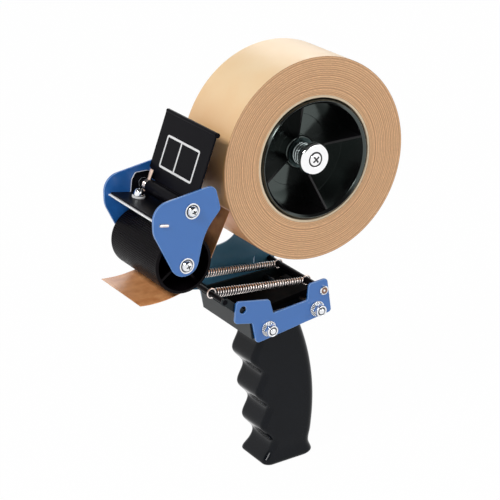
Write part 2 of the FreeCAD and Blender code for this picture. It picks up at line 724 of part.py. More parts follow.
def make_side_plate():
    """Far plate: cheek, arm to the roll axle and foot beside the tray."""
    head = around_place(S.roller_x, S.roller_z, (CHEEK_TOE,) + CHEEK_FRONT)
    top = around_place(S.axle_x, S.axle_z, SIDE_TOP)
    throat = around_place(S.roller_x, S.roller_z, SIDE_THROAT)
    outline = head + top + SIDE_FOOT + throat
    screw = S.head_screw_radius + S.fit_gap
    body = plate("side_plate", -inner_y, S.plate_wall, outline, (
        (S.roller_x, S.roller_z, screw), (guard_x, guard_z, screw),
        (S.axle_x, S.axle_z, S.axle_radius + S.fit_gap),
        (S.pivot_x, S.pivot_z, S.bolt_radius + S.fit_gap),
        (S.spare_hole_x, S.spare_hole_z, S.spare_hole_radius),
    ))
    travel_slot(body, "side_plate")
    blade_slot(body, "side_plate")


def blade_slot(body, label):
    slot = new_sketch(body, label + "_blade_slot", "XZ_Plane")
    half = S.slot_width / 2 + S.fit_gap
    low = -(S.slot_height / 2 + S.fit_gap)
    high = S.slot_height / 2 + S.fit_gap
    draw_polygon(slot, (on_blade(-half, low), on_blade(half, low), on_blade(half, high), on_blade(-half, high)))
    pocket_through(body, label + "_blade_slot_cut", slot)


def make_head_plate():
    outline = around_place(S.roller_x, S.roller_z, (CHEEK_TOE,) + CHEEK_FRONT + CHEEK_REAR)
    screw = S.head_screw_radius + S.fit_gap
    body = plate("near_head_plate", outer_y, S.plate_wall, outline, (
        (S.roller_x, S.roller_z, screw), (guard_x, guard_z, screw),
    ))
    blade_slot(body, "near_head_plate")


def make_brackets():
    for label, near_face, rear_ear in (
        ("near_bracket", outer_y, NEAR_REAR_EAR), ("far_bracket", -outer_y, FAR_REAR_EAR),
    ):
        body = plate(label, near_face, S.plate_wall, BRACKET_FOOT + rear_ear, (
            (S.spare_hole_x, S.spare_hole_z, S.spare_hole_radius),
            (S.rear_rod_x, S.rear_rod_z, S.rear_rod_tail_radius),
            (S.pivot_x, S.pivot_z, S.bolt_radius + S.fit_gap),
        ))
        travel_slot(body, label)


def make_rear_rod():
    """Rod between the rear ears, shouldered inside them and riveted over outside."""
    tail = S.rear_rod_tail_radius
    low = bracket_far_y
    middle = rod("rear_rod_middle", S.rear_rod_radius, S.rear_rod_x, S.rear_rod_z, -outer_y, inner_y)
    core = rod("rear_rod_core", tail, S.rear_rod_x, S.rear_rod_z, low, outer_y)
    heads = []
    for name, start in (("near", outer_y), ("far", low - S.rivet_head_height)):
        stop = start + S.rivet_head_height
        heads.append(rod(f"rear_rod_{name}_head", S.rivet_head_radius, S.rear_rod_x, S.rear_rod_z, start, stop))
    node(fuse("rear_rod", middle, core, *heads), "rear_spring_rod")


def make_cross_rods():
    """Roller axle and guard rod, tapped at both ends for the head screws."""
    depth = S.head_screw_length - S.head_washer_wall - S.plate_wall + 1
    for label, radius, x, z in (
        ("roller_axle", S.roller_axle_radius, S.roller_x, S.roller_z),
        ("guard_rod", S.guard_rod_radius, guard_x, guard_z),
    ):
        bar = rod(label + "_bar", radius, x, z, -inner_y, inner_y)
        tap = S.head_screw_radius + S.fit_gap
        near = rod(label + "_near_tap", tap, x, z, inner_y - depth, inner_y + 1)
        far = rod(label + "_far_tap", tap, x, z, -inner_y - 1, depth - inner_y)
        node(cut(label + "_tapped", bar, near, far), label)


def cross_recess(name, x, y_from, y_to, z, span, wall):
    """Cross-shaped drive recess along Y."""
    flat = block(name + "_flat", x - span, x + span, y_from, y_to, z - wall, z + wall)
    tall = block(name + "_tall", x - wall, x + wall, y_from, y_to, z - span, z + span)
    return fuse(name, flat, tall)


def make_head_screws():
    """Four pan-head screws with washers, two on each side of the head."""
    screws = []
    washers = []
    radius = S.head_screw_head_radius
    height = S.head_screw_head_height
    recess_span = radius * 0.5
    recess_wall = radius * 0.1
    for spot, x, z in (("roller", S.roller_x, S.roller_z), ("guard", guard_x, guard_z)):
        for side, way in (("near", 1), ("far", -1)):
            name = f"{spot}_{side}"
            seat = outer_y
            under = seat + S.head_washer_wall
            top = under + height
            tip = under - S.head_screw_length

            def span(low, high):
                return (low, high) if way > 0 else (-as_dim(high), -as_dim(low))

            head = rod(name + "_head_post", radius, x, z, *span(under, top))
            dome_radius = radius * 1.6
            dome_y = (top - dome_radius) * way
            dome = ball(name + "_head_ball", dome_radius, x, dome_y, z)
            head = common(name + "_head", head, dome)
            shank = rod(name + "_shank", S.head_screw_radius, x, z, *span(tip, under))
            low, high = span(top - height * 0.45, top + 1)
            recess = cross_recess(name + "_recess", x, low, high, z, recess_span, recess_wall)
            screws.append(cut(name + "_screw", fuse(name + "_screw_body", head, shank), recess))
            disc = rod(name + "_washer_disc", S.head_washer_radius, x, z, *span(seat, under))
            eye = rod(name + "_washer_eye", S.head_screw_radius + S.fit_gap, x, z, *span(seat - 1, under + 1))
            washers.append(cut(name + "_washer", disc, eye))
    node(group("head_screw_group", screws), "head_screws")
    node(group("head_washer_group", washers), "head_washers")


# Blade

def make_blade():
    """Serrated strip on the bar; its teeth stand past the holder."""
    body = new_body("blade")
    half = inner_y - S.blade_side_gap
    count = int(round(float(S.tooth_count)))
    pitch = half * 2 / S.tooth_count
    root = S.blade_reach - S.tooth_depth
    corners = [(-S.blade_tail, -half)]
    for tooth in range(count):
        corners.append((root, pitch * tooth - half))
        corners.append((S.blade_reach, pitch * (tooth + 0.5) - half))
    corners.append((root, half))
    corners.append((-S.blade_tail, half))
    sketch = new_sketch(body, "blade_outline", "XY_Plane", blade_under)
    draw_polygon(sketch, corners)
    pad(body, "blade_strip", sketch, S.blade_wall)
    bores = new_sketch(body, "blade_holes", "XY_Plane", blade_under)
    for way in (-1, 1):
        draw_circle(bores, -S.clamp_screw_back, S.clamp_screw_y * way, S.clamp_screw_radius + S.fit_gap)
    pocket_through(body, "blade_bores", bores)
    slope_up(body)


def make_blade_bar():
    """Plated bar under the blade; its ends show in the slots of the head plates."""
    reach = outer_y + S.run_gap * 2
    half = S.slot_width / 2
    strip = block("blade_bar_strip", -half, half, -reach, reach, -blade_under, blade_under)
    core = rod("blade_bar_core", blade_under, 0, 0, -reach, reach)
    node(slope_up(fuse("blade_bar_piece", strip, core)), "blade_bar")


def make_blade_holder():
    """Black pressed holder over the blade, with an ear at each end on the guard rod."""
    body = new_body("blade_holder")
    half = inner_y - S.holder_side_gap
    inner = half - S.holder_wall
    rod_ahead, rod_above = rod_on_blade()
    ear = [EAR_FOOT[1]]
    for ahead, above, radius in EAR_TOP:
        ear.append((rod_ahead + ahead, rod_above + above, radius))
    ear.append(EAR_FOOT[0])
    side_outline(body, "holder_ears", [corner[:2] for corner in ear], half)
    round_corners(body, "holder", ear)
    front = S.blade_reach - S.holder_setback
    back = rod_ahead - S.guard_rod_radius * 6
    top = rod_above + S.guard_rod_radius * 6
    between = new_sketch(body, "holder_space_outline", "XZ_Plane")
    draw_polygon(between, ((back, holder_over), (front, holder_over), (front, top), (back, top)))
    before = body.Tip.Shape.Volume
    space = body.newObject("PartDesign::Pocket", "holder_space")
    space.Profile = between
    bind(space, "Length", inner * 2)
    space.SideType = "Symmetric"
    doc.recompute()
    if not space.Shape.Volume < before * 0.5:
        raise ValueError("the blade holder is not open")
    side_outline(body, "holder_seat", (
        (-S.blade_tail, blade_over), (front, blade_over), (front, holder_over), (-S.blade_tail, holder_over),
    ), inner)
    bores = new_sketch(body, "holder_screw_holes", "XY_Plane", blade_over)
    for way in (-1, 1):
        draw_circle(bores, -S.clamp_screw_back, S.clamp_screw_y * way, S.clamp_screw_radius + S.fit_gap)
    pocket_through(body, "holder_screw_bores", bores)
    hole = new_sketch(body, "holder_rod_hole", "XZ_Plane")
    draw_circle(hole, rod_ahead, rod_above, S.guard_rod_radius + S.fit_gap)
    pocket_through(body, "holder_rod_bore", hole)
    slope_up(body)


def make_clamp():
    """Two screws with washers that clamp the blade, and the nuts below it."""
    screws = []
    nuts = []
    back = -S.clamp_screw_back
    seat = holder_over + S.clamp_washer_wall
    crown = seat + S.clamp_head_height
    foot = blade_under - S.clamp_nut_height
    for name, way in (("far", -1), ("near", 1)):
        y = S.clamp_screw_y * way
        washer = post(f"clamp_{name}_washer", S.clamp_washer_radius, back, y, holder_over, seat)
        head_radius = S.clamp_head_radius
        head_post = post(f"clamp_{name}_head_post", head_radius, back, y, seat, crown)
        head_ball = ball(f"clamp_{name}_head_ball", head_radius * 1.5, back, y, crown - head_radius * 1.5)
        head = common(f"clamp_{name}_head", head_post, head_ball)
        shank = post(f"clamp_{name}_shank", S.clamp_screw_radius, back, y, foot - 1, seat)
        span = head_radius * 0.55
        thin = head_radius * 0.12
        low = crown - S.clamp_head_height * 0.35
        high = crown + 1
        long_slot = block(f"clamp_{name}_long_slot", back - span, back + span, y - thin, y + thin, low, high)
        wide_slot = block(f"clamp_{name}_wide_slot", back - thin, back + thin, y - span, y + span, low, high)
        whole = fuse(f"clamp_{name}_screw_body", washer, head, shank)
        screws.append(slope_up(cut(f"clamp_{name}_screw", whole, long_slot, wide_slot)))
        prism = doc.addObject("Part::Prism", f"clamp_{name}_nut_prism")
        prism.Polygon = 6
        bind(prism, "Circumradius", S.nut_across / math.sqrt(3))
        bind(prism, "Height", S.clamp_nut_height)
        place(prism, back, y, foot)
        eye = post(f"clamp_{name}_nut_eye", S.clamp_screw_radius + S.fit_gap, back, y, foot - 1, blade_under + 1)
        nuts.append(slope_up(cut(f"clamp_{name}_nut", prism, eye)))
    node(group("clamp_screw_group", screws), "clamp_screws")
    node(group("clamp_nut_group", nuts), "clamp_nuts")


# Guard

def make_guard():
    """Black guard plate that swings on the cross rod: curl, leaning plate and rolled top."""
    lean = math.atan2(float(S.guard_back_lean), float(S.guard_height))
    up = Vector(-math.sin(lean), 0, math.cos(lean))
    front = Vector(math.cos(lean), 0, math.sin(lean))
    bend = Vector(float(guard_x - S.guard_bend_back), 0, float(guard_z + S.guard_bend_rise))
    height = math.hypot(float(S.guard_back_lean), float(S.guard_height))
    wall = float(S.guard_wall)
    pivot = Vector(float(guard_x), 0, float(guard_z))
    drop = (bend - pivot).dot(up)
    curl_radius = float(S.guard_rod_radius + S.fit_gap) + wall
    half = float(inner_y - S.guard_side_gap)
    root_half = float(inner_y - S.guard_root_gap)
    curl_half = float(S.guard_curl_half_width)

    def slab(half_width, low, high):
        """Sheet between two heights along the plate."""
        corners = []
        for along, through in ((low, -wall), (high, -wall), (high, 0.0), (low, 0.0)):
            corners.append(bend + up * along + front * through + Vector(0, -half_width, 0))
        face = Part.Face(Part.makePolygon(corners + corners[:1]))
        return face.extrude(Vector(0, half_width * 2, 0))

    def tube(radius, half_width, centre):
        base = centre + Vector(0, -half_width, 0)
        return Part.makeCylinder(radius, half_width * 2, base, Vector(0, 1, 0))

    bore = tube(float(S.guard_rod_radius + S.fit_gap), half + 1, pivot)
    bead_radius = float(S.guard_bead_radius)
    upper = slab(half, -float(S.guard_skirt), height - bead_radius)
    # the narrower root ends just above the turns of the guard spring
    spring_reach = float(S.guard_rod_radius + S.guard_spring_wire + S.run_gap * 2)
    root = slab(root_half, spring_reach - drop, 0.5)
    tongue = slab(curl_half, -drop, 0.5)
    curl = tube(curl_radius, curl_half, pivot)
    bead_centre = bend + up * (height - bead_radius) - front * bead_radius
    bead = tube(bead_radius, half, bead_centre)
    shape = upper.fuse([root, tongue, curl, bead]).cut(bore).removeSplitter()
    guard = doc.addObject("Part::Feature", "guard_plate")
    guard.Shape = shape
    node(guard, "guard_plate")


def make_guard_spring():
    """Torsion spring round the guard rod beside the curl, with a leg up the guard."""
    wire = S.guard_spring_wire
    inner = S.guard_rod_radius + S.run_gap
    outer = inner + wire
    start = -S.guard_curl_half_width - S.run_gap - S.guard_spring_turns_width
    stop = start + S.guard_spring_turns_width
    turns = rod("guard_spring_turns", outer, guard_x, guard_z, start, stop)
    bore = rod("guard_spring_bore", inner, guard_x, guard_z, start - 1, stop + 1)
    ring = cut("guard_spring_ring", turns, bore)
    leg_half = wire / 2
    leg = doc.addObject("Part::Box", "guard_spring_leg")
    bind(leg, "Length", wire)
    bind(leg, "Width", S.guard_spring_turns_width)
    bind(leg, "Height", S.guard_spring_leg)
    turn = Rotation(Vector(0, 1, 0), -20)
    place(leg, guard_x + inner * 0.36 + leg_half, start, guard_z + inner * 0.98, turn)
    node(fuse("guard_spring_body", ring, leg), "guard_spring")


# Roller and roll

def make_roller():
    """Hollow plastic roller: shell, hub tube, middle web and four ribs."""
    body = new_body("roller")
    half = inner_y - S.roller_side_gap
    bore = S.roller_axle_radius + S.fit_gap
    inner = S.roller_radius - S.roller_wall
    web = S.roller_wall / 2
    profile = new_sketch(body, "roller_profile", "XY_Plane")
    hub_end = inner_y - S.run_gap
    draw_polygon(profile, (
        (bore, -hub_end), (S.roller_hub_radius, -hub_end), (S.roller_hub_radius, -web), (inner, -web),
        (inner, -half), (S.roller_radius, -half), (S.roller_radius, half), (inner, half),
        (inner, web), (S.roller_hub_radius, web), (S.roller_hub_radius, hub_end), (bore, hub_end),
    ))
    revolve(body, "roller_shell", profile)
    rib = new_sketch(body, "roller_rib_outline", "XY_Plane")
    reach = half - S.roller_rib_setback
    root = S.roller_hub_radius - 0.5
    draw_polygon(rib, ((root, -reach), (inner + 0.5, -reach), (inner + 0.5, reach), (root, reach)))
    first = pad(body, "roller_rib", rib, S.roller_rib_wall, both_ways=True)
    around(body, "roller_ribs", first, 4)
    place(body, S.roller_x, 0, S.roller_z, Rotation(Vector(0, 1, 0), -56))


def make_hub():
    """Black roll hub: rim with ridges that grip the core, web, boss and four rising ribs."""
    body = new_body("roll_hub")
    rim = S.core_bore_radius - S.hub_grip_gap
    inner = rim - S.hub_wall
    bore = S.axle_radius + S.fit_gap
    near = roll_half + S.hub_overhang
    far = -near
    web = S.hub_web_wall / 2
    boss = S.hub_boss_radius
    far_end = -(inner_y - S.axle_collar_wall - S.face_gap)
    bevel = S.hub_wall / 2
    ridge = rim * 0.6
    step = 0.8
    profile = new_sketch(body, "hub_profile", "XY_Plane")
    draw_polygon(profile, (
        (bore, far_end), (boss, far_end), (boss, -web), (inner, -web), (inner, far), (rim, far),
        (rim, near), (inner + bevel, near), (inner, near - bevel), (inner, web),
        (ridge + step, web), (ridge + step, web + step), (ridge, web + step), (ridge, web),
        (boss, web), (boss, S.hub_boss_front_y - 1), (boss - 1, S.hub_boss_front_y), (bore, S.hub_boss_front_y),
    ))
    revolve(body, "hub_shell", profile)
    rib = new_sketch(body, "hub_rib_outline", "XY_Plane")
    draw_polygon(rib, (
        (boss - 0.5, -S.hub_rib_far_y), (inner + 0.5, -S.hub_rib_far_y),
        (inner + 0.5, S.hub_rib_rim_y), (boss - 0.5, S.hub_boss_front_y + S.hub_rib_rise),
    ))
    first = pad(body, "hub_rib", rib, S.hub_rib_wall, both_ways=True)
    around(body, "hub_ribs", first, 4)
    ridge_outline = new_sketch(body, "hub_ridge_outline", "XY_Plane")
    reach = roll_half - S.hub_overhang
    grip = S.core_bore_radius - S.fit_gap
    draw_polygon(ridge_outline, ((rim - 0.5, -reach), (grip, -reach), (grip, reach), (rim - 0.5, reach)))
    ridge_pad = pad(body, "hub_ridge", ridge_outline, S.hub_rib_wall, both_ways=True)
    around(body, "hub_ridges", ridge_pad, 4)
    place(body, S.axle_x, 0, S.axle_z, Rotation(Vector(0, 1, 0), -float(S.hub_rib_turn)))


def ring(label, inner, outer, x, z, y_from, y_to):
    disc = rod(label + "_disc", outer, x, z, y_from, y_to)
    eye = rod(label + "_eye", inner, x, z, as_dim(y_from) - 1, as_dim(y_to) + 1)
    return node(cut(label + "_ring", disc, eye), label)


def make_tape():
    outer = S.core_bore_radius + S.core_wall
    ring("tape_core", S.core_bore_radius, outer, S.axle_x, S.axle_z, -roll_half, roll_half)
    ring("tape_roll", outer, S.tape_outer_radius, S.axle_x, S.axle_z, -roll_half, roll_half)


def make_hub_axle():
    """Threaded axle held in the side plate by its collar and a nut."""
    x, z = S.axle_x, S.axle_z
    nut_face = -outer_y - S.head_washer_wall
    nut_end = nut_face - S.axle_nut_height
    shaft = rod("axle_shaft", S.axle_radius, x, z, nut_end - 1.5, S.axle_end_y)
    collar = rod("axle_collar", S.axle_collar_radius, x, z, -inner_y, -inner_y + S.axle_collar_wall)
    low, high = S.axle_end_y - 1, S.axle_end_y + 1
    recess = cross_recess("axle_recess", x, low, high, z, S.axle_radius * 0.6, S.axle_radius * 0.14)
    node(cut("axle", fuse("axle_blank", shaft, collar), recess), "hub_axle")
    hexed = hexagon("axle_nut_hexagon", S.axle_nut_across, x, z, nut_end, nut_face)
    bore = rod("axle_nut_bore", S.axle_radius + S.fit_gap, x, z, nut_end - 1, nut_face + 1)
    node(cut("axle_nut_cut", hexed, bore), "hub_axle_nut")
    ring("hub_axle_washer", S.axle_radius + S.fit_gap, S.axle_nut_across * 0.62, x, z, nut_face, -outer_y)


def make_brake():
    """Washer, spring and thumb knob that press on the hub."""
    x, z = S.axle_x, S.axle_z
    bore = S.axle_radius + S.fit_gap
    seat = S.hub_boss_front_y + S.face_gap
    spring_from = seat + S.brake_washer_wall
    knob_top = S.axle_end_y - 0.6
    knob_base = knob_top - S.knob_height
    ring("brake_washer", bore, S.brake_washer_radius, x, z, seat, spring_from)
    spring_inner = S.brake_spring_radius - S.brake_spring_wire
    ring("brake_spring", spring_inner, S.brake_spring_radius, x, z, spring_from, knob_base - S.face_gap)
    body = new_body("brake_knob")
    profile = new_sketch(body, "knob_profile", "XY_Plane")
    edge = 0.8
    draw_polygon(profile, (
        (bore, knob_base), (S.knob_radius - edge, knob_base), (S.knob_radius, knob_base + edge),
        (S.knob_radius, knob_top - edge), (S.knob_radius - edge, knob_top), (bore, knob_top),
    ))
    revolve(body, "knob_disc", profile)
    flute = new_sketch(body, "knob_flute_outline", "XZ_Plane")
    draw_circle(flute, S.knob_radius + 0.25, 0, 0.6)
    first = pocket_through(body, "knob_flute", flute)
    around(body, "knob_flute_row", first, S.knob_flutes)
    place(body, x, 0, z)


def make_strip():
    """Tape from the roll round the back and the bottom of the roller to its free end."""
    wall = float(S.tape_wall)
    roll = Vector(float(S.axle_x), 0, float(S.axle_z))
    roller = Vector(float(S.roller_x), 0, float(S.roller_z))
    lift = float(S.run_gap) + wall / 2
    around_roller = float(S.roller_radius) + lift
    peel = math.radians(float(S.peel_angle))
    start_radius = float(S.tape_outer_radius) + lift
    start = roll + Vector(math.cos(peel), 0, math.sin(peel)) * start_radius
    to_roller = roller - start
    reach = to_roller.Length
    heading = math.atan2(to_roller.z, to_roller.x)
    # the tape touches the rear of the roller, with the roller on its left
    swing = math.asin(around_roller / reach)
    run = heading - swing
    first_touch = start + Vector(math.cos(run), 0, math.sin(run)) * math.sqrt(reach ** 2 - around_roller ** 2)
    slope = math.radians(float(S.leave_slope))
    leave = roller + Vector(math.sin(slope), 0, -math.cos(slope)) * around_roller
    touch_angle = math.atan2(first_touch.z - roller.z, first_touch.x - roller.x)
    leave_angle = math.atan2(leave.z - roller.z, leave.x - roller.x)
    half_way = (touch_angle % (2 * math.pi) + leave_angle % (2 * math.pi)) / 2
    bottom = roller + Vector(math.cos(half_way), 0, math.sin(half_way)) * around_roller
    along = Vector(math.cos(slope), 0, math.sin(slope))
    tail_start = leave + along * float(S.tail_straight)
    up = Vector(-math.sin(slope), 0, math.cos(slope))
    centre = tail_start + up * float(S.tail_radius)
    turn = math.radians(float(S.tail_turn))

    def on_tail(angle):
        direction = slope - math.pi / 2 + angle
        return centre + Vector(math.cos(direction), 0, math.sin(direction)) * float(S.tail_radius)

    edges = [
        Part.LineSegment(start, first_touch).toShape(),
        Part.Arc(first_touch, bottom, leave).toShape(),
        Part.LineSegment(leave, tail_start).toShape(),
        Part.Arc(tail_start, on_tail(turn / 2), on_tail(turn)).toShape(),
    ]
    centre_line = Part.Wire(edges)
    outer = centre_line.makeOffset2D(wall / 2, 0, False, True)
    inner = centre_line.makeOffset2D(-wall / 2, 0, False, True)
    outer_ends = (outer.OrderedVertexes[0].Point, outer.OrderedVertexes[-1].Point)
    inner_ends = (inner.OrderedVertexes[0].Point, inner.OrderedVertexes[-1].Point)
    if outer_ends[0].distanceToPoint(inner_ends[0]) > outer_ends[0].distanceToPoint(inner_ends[1]):
        inner_ends = inner_ends[::-1]
    closing = [Part.makeLine(a, b) for a, b in zip(outer_ends, inner_ends)]
    outline = Part.Wire(Part.__sortEdges__(outer.Edges + inner.Edges + closing))
    half = float(roll_half)
    sheet_solid = Part.Face(outline).extrude(Vector(0, half * 2, 0))
    strip = doc.addObject("Part::Feature", "tape_strip")
    strip.Shape = sheet_solid
    strip.Placement = Placement(Vector(0, -half, 0), Rotation())
    node(strip, "tape_strip")


def make_springs():
    """Two close-coiled extension springs between the front bar and the rear rod."""
    front = Vector(float(S.bar_x), 0, float(S.bar_z))
    rear = Vector(float(S.rear_rod_x), 0, float(S.rear_rod_z))
    hook = float(S.hook_radius)
    wire = float(S.spring_wire) / 2
    front_radius = float(S.spring_front_radius)
    rear_radius = float(S.spring_rear_radius)
    along = (front - rear).normalize()
    # the inside of each hook bears on the far side of its rod
    front_eye = front - along * (hook - wire - float(S.bar_radius) - float(S.fit_gap) * 2)
    rear_eye = rear + along * (hook - wire - float(S.rear_rod_radius) - float(S.fit_gap) * 2)
    coil_from = rear_eye + along * hook
    coil_to = front_eye - along * hook
    length = (coil_to - coil_from).Length
    for label, y in (("near_spring", S.spring_near_y), ("far_spring", S.spring_far_y)):
        coil = Part.makeCone(rear_radius, front_radius, length, coil_from, along)
        bore_from = coil_from + along * 2 * wire
        coil = coil.cut(Part.makeCone(
            rear_radius - 2 * wire, front_radius - 2 * wire, length - 4 * wire, bore_from, along,
        ))
        eyes = [Part.makeTorus(hook, wire, centre, Vector(0, 1, 0)) for centre in (front_eye, rear_eye)]
        spring = doc.addObject("Part::Feature", label)
        spring.Shape = coil.fuse(eyes).removeSplitter()
        spring.Placement = Placement(Vector(0, float(y), 0), Rotation())
        node(spring, label)


make_grip()
make_tray()
make_through_bolts()
make_front_bar()
make_side_plate()
make_head_plate()
make_brackets()
make_rear_rod()
make_cross_rods()
make_head_screws()
make_blade()
make_blade_bar()
make_blade_holder()
make_clamp()
make_guard()
make_guard_spring()
make_roller()
make_hub()
make_tape()
make_hub_axle()
make_brake()
make_strip()
make_springs()
doc.recompute()

for item in doc.Objects:
    if "Invalid" in item.State or "Error" in item.State:
        raise ValueError(f"{item.Label} did not build: {item.State}")
for item in NODES:
    if item.Shape.isNull() or not item.Shape.isValid() or not item.Shape.Solids:
        raise ValueError(f"{item.Label} has no sound solid")

os.makedirs("parts", exist_ok=True)
for item in NODES:
    item.Shape.exportStep(os.path.join("parts", item.Label + ".step"))
    print(item.Label, len(item.Shape.Solids), round(item.Shape.Volume, 1))
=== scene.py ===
import json
import math
import random

import bmesh
import bpy
from mathutils import Matrix, Vector


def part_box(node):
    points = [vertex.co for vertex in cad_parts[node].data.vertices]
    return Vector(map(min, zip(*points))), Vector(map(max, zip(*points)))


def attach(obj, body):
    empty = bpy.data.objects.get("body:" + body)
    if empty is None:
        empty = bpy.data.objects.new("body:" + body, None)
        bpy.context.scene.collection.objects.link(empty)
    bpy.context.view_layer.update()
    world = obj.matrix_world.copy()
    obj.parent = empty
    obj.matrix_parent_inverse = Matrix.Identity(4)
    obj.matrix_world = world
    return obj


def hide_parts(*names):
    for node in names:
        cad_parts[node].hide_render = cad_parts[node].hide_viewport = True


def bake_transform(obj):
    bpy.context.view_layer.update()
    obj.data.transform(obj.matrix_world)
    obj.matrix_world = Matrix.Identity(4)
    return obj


# A hand-held packing tape dispenser: plastic grip, enamelled steel frame, tape roll on a braked hub.
# +X is the way the tape is pulled, +Y the open side where the roll slides on, +Z is up.

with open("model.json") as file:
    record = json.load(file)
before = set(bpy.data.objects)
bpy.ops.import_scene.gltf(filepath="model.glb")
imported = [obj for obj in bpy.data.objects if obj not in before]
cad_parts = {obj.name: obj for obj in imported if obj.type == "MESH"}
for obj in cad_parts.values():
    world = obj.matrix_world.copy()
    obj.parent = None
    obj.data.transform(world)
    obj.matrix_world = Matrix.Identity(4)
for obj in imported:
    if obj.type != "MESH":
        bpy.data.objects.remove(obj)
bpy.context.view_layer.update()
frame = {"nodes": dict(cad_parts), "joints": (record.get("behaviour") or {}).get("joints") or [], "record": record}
nodes = frame["nodes"]
record = frame["record"]
body_of_node = {node: body for body, held in record["behaviour"]["bodies"].items() for node in held}
slot_of_node = {row["node"]: row["material_slot"] for row in record["subparts"]}

MM = 0.001
FULL_TURN = 2 * math.pi
AXIS_Y = Vector((0, 1, 0))
MIRROR_Y = Matrix.Scale(-1, 4, AXIS_Y)


def middle(node):
    low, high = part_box(node)
    return (low + high) / 2


def span(node):
    """Lowest and highest place of a node across the dispenser, along Y."""
    low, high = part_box(node)
    return low.y, high.y


def flat_centre(node):
    """Centre of a node in the middle plane of the dispenser."""
    centre = middle(node)
    centre.y = 0
    return centre


# Where the main axes and faces are
roll_axis = flat_centre("tape_roll")
roller_axis = flat_centre("roller")
guard_axis = flat_centre("guard_rod")
blade_axis = flat_centre("blade_bar")
front_bar_axis = flat_centre("front_spring_bar")
rear_rod_axis = flat_centre("rear_spring_rod")
plate_near = span("near_head_plate")[1]
plate_far = span("side_plate")[0]

# The blade and its screws lie on a slope, which rises towards the teeth
BLADE_PITCH = math.radians(12)
blade_slope = Matrix.Translation(blade_axis) @ Matrix.Rotation(-BLADE_PITCH, 4, "Y")

# Flat front of the guard: where it passes the tops of the head plates, and at its top edge
GUARD_FRONT = Vector((60.7, 0, 207.2)) * MM
GUARD_TOP = Vector((48.9, 0, 235.1)) * MM
guard_up = (GUARD_TOP - GUARD_FRONT).normalized()
guard_ahead = Vector((guard_up.z, 0, -guard_up.x))

# Between these places the painted shade on the inner side of the far plates fades out, from the arm to the head
SHADE_FULL_TO = 44 * MM
SHADE_GONE_FROM = 60 * MM


# Working on a piece, as at the bench

def deselect():
    bpy.ops.object.select_all(action="DESELECT")


def alone(piece):
    """Only this piece is selected, and it is the active one."""
    deselect()
    piece.select_set(True)
    bpy.context.view_layer.objects.active = piece
    return piece


def select_whole():
    bpy.ops.mesh.select_all(action="SELECT")


def open_up(piece):
    """Edit mode, with the whole mesh selected."""
    alone(piece)
    bpy.ops.object.mode_set(mode="EDIT")
    select_whole()


def close_up():
    bpy.ops.object.mode_set(mode="OBJECT")


def pick(piece, kind, wanted):
    """In edit mode, select the faces, edges or corners that the test wants."""
    bpy.ops.mesh.select_mode(type=kind)
    bpy.ops.mesh.select_all(action="DESELECT")
    form = bmesh.from_edit_mesh(piece.data)
    items = {"VERT": form.verts, "EDGE": form.edges, "FACE": form.faces}[kind]
    for item in items:
        if wanted(item):
            item.select_set(True)
    bmesh.update_edit_mesh(piece.data)


def named(piece, name):
    piece.name = name
    piece.data.name = name
    return piece


def newest(name):
    return named(bpy.context.object, name)


def settle(piece):
    """Put the place and turn of a piece into its mesh."""
    alone(piece)
    bpy.ops.object.transform_apply(location=True, rotation=True, scale=True)
    return piece


def clean(piece, gap=1e-6):
    """Close the seams and poles and point the faces outwards."""
    open_up(piece)
    bpy.ops.mesh.remove_doubles(threshold=gap)
    bpy.ops.mesh.delete_loose()
    select_whole()
    bpy.ops.mesh.normals_make_consistent(inside=False)
    close_up()
    return piece


def smooth(piece, degrees=32):
    alone(piece)
    bpy.ops.object.shade_smooth_by_angle(angle=math.radians(degrees))
    return piece


def apply_all(piece):
    alone(piece)
    for modifier in list(piece.modifiers):
        bpy.ops.object.modifier_apply(modifier=modifier.name)
    return piece


def soften(piece, width, segments=2, degrees=32, clamp=True):
    """Break the sharp edges of a piece."""
    bevel = piece.modifiers.new("soften", "BEVEL")
    bevel.width = width
    bevel.segments = segments
    bevel.limit_method = "ANGLE"
    bevel.angle_limit = math.radians(degrees)
    bevel.use_clamp_overlap = clamp
    bevel.harden_normals = False
    return apply_all(piece)


def even_faces(piece):
    """Let the large flat faces rule how the broken edges beside them shade."""
    weigh = piece.modifiers.new("even", "WEIGHTED_NORMAL")
    weigh.keep_sharp = True
    return apply_all(piece)


def cut_with(piece, tool, operation="DIFFERENCE"):
    """Cut a piece with a tool, which is used up."""
    knife = piece.modifiers.new("cut", "BOOLEAN")
    knife.operation = operation
    knife.solver = "EXACT"
    knife.object = tool
    apply_all(piece)
    bpy.data.objects.remove(tool)
    return piece


def join(pieces, name):
    deselect()
    for piece in pieces:
        piece.select_set(True)
    bpy.context.view_layer.objects.active = pieces[0]
    bpy.ops.object.join()
    return named(pieces[0], name)


def twin(piece, name, matrix):
    """Copy of a finished piece with its own mesh, moved by a matrix."""
    copy = piece.copy()
    copy.data = piece.data.copy()
    bpy.context.scene.collection.objects.link(copy)
    copy.data.transform(matrix)
    if matrix.to_3x3().determinant() < 0:
        copy.data.flip_normals()
    return named(copy, name)


def twins(piece, places):
    """Copies of a near-side fastener, each moved by a vector and mirrored to the far side where asked."""
    copies = []
    for number, (shift, mirrored) in enumerate(places):
        matrix = Matrix.Translation(shift)
        if mirrored:
            matrix = MIRROR_Y @ matrix
        copies.append(twin(piece, f"{piece.name}_{number}", matrix))
    return copies


def hand_over(piece, stands_for=None, body=None):
    """The piece rides on its body and may stand for a node of the model."""
    even_faces(piece)
    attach(piece, body or body_of_node[stands_for])
    if stands_for:
        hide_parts(stands_for)
    return piece


def coated(piece, *materials):
    piece.data.materials.clear()
    for material in materials:
        piece.data.materials.append(material)
    return piece


def faces_to(piece, slot_index, wanted):
    """Give the faces that the test wants the piece's other finish."""
    for face in piece.data.polygons:
        if wanted(face):
            face.material_index = slot_index


# Measuring round an axis along Y

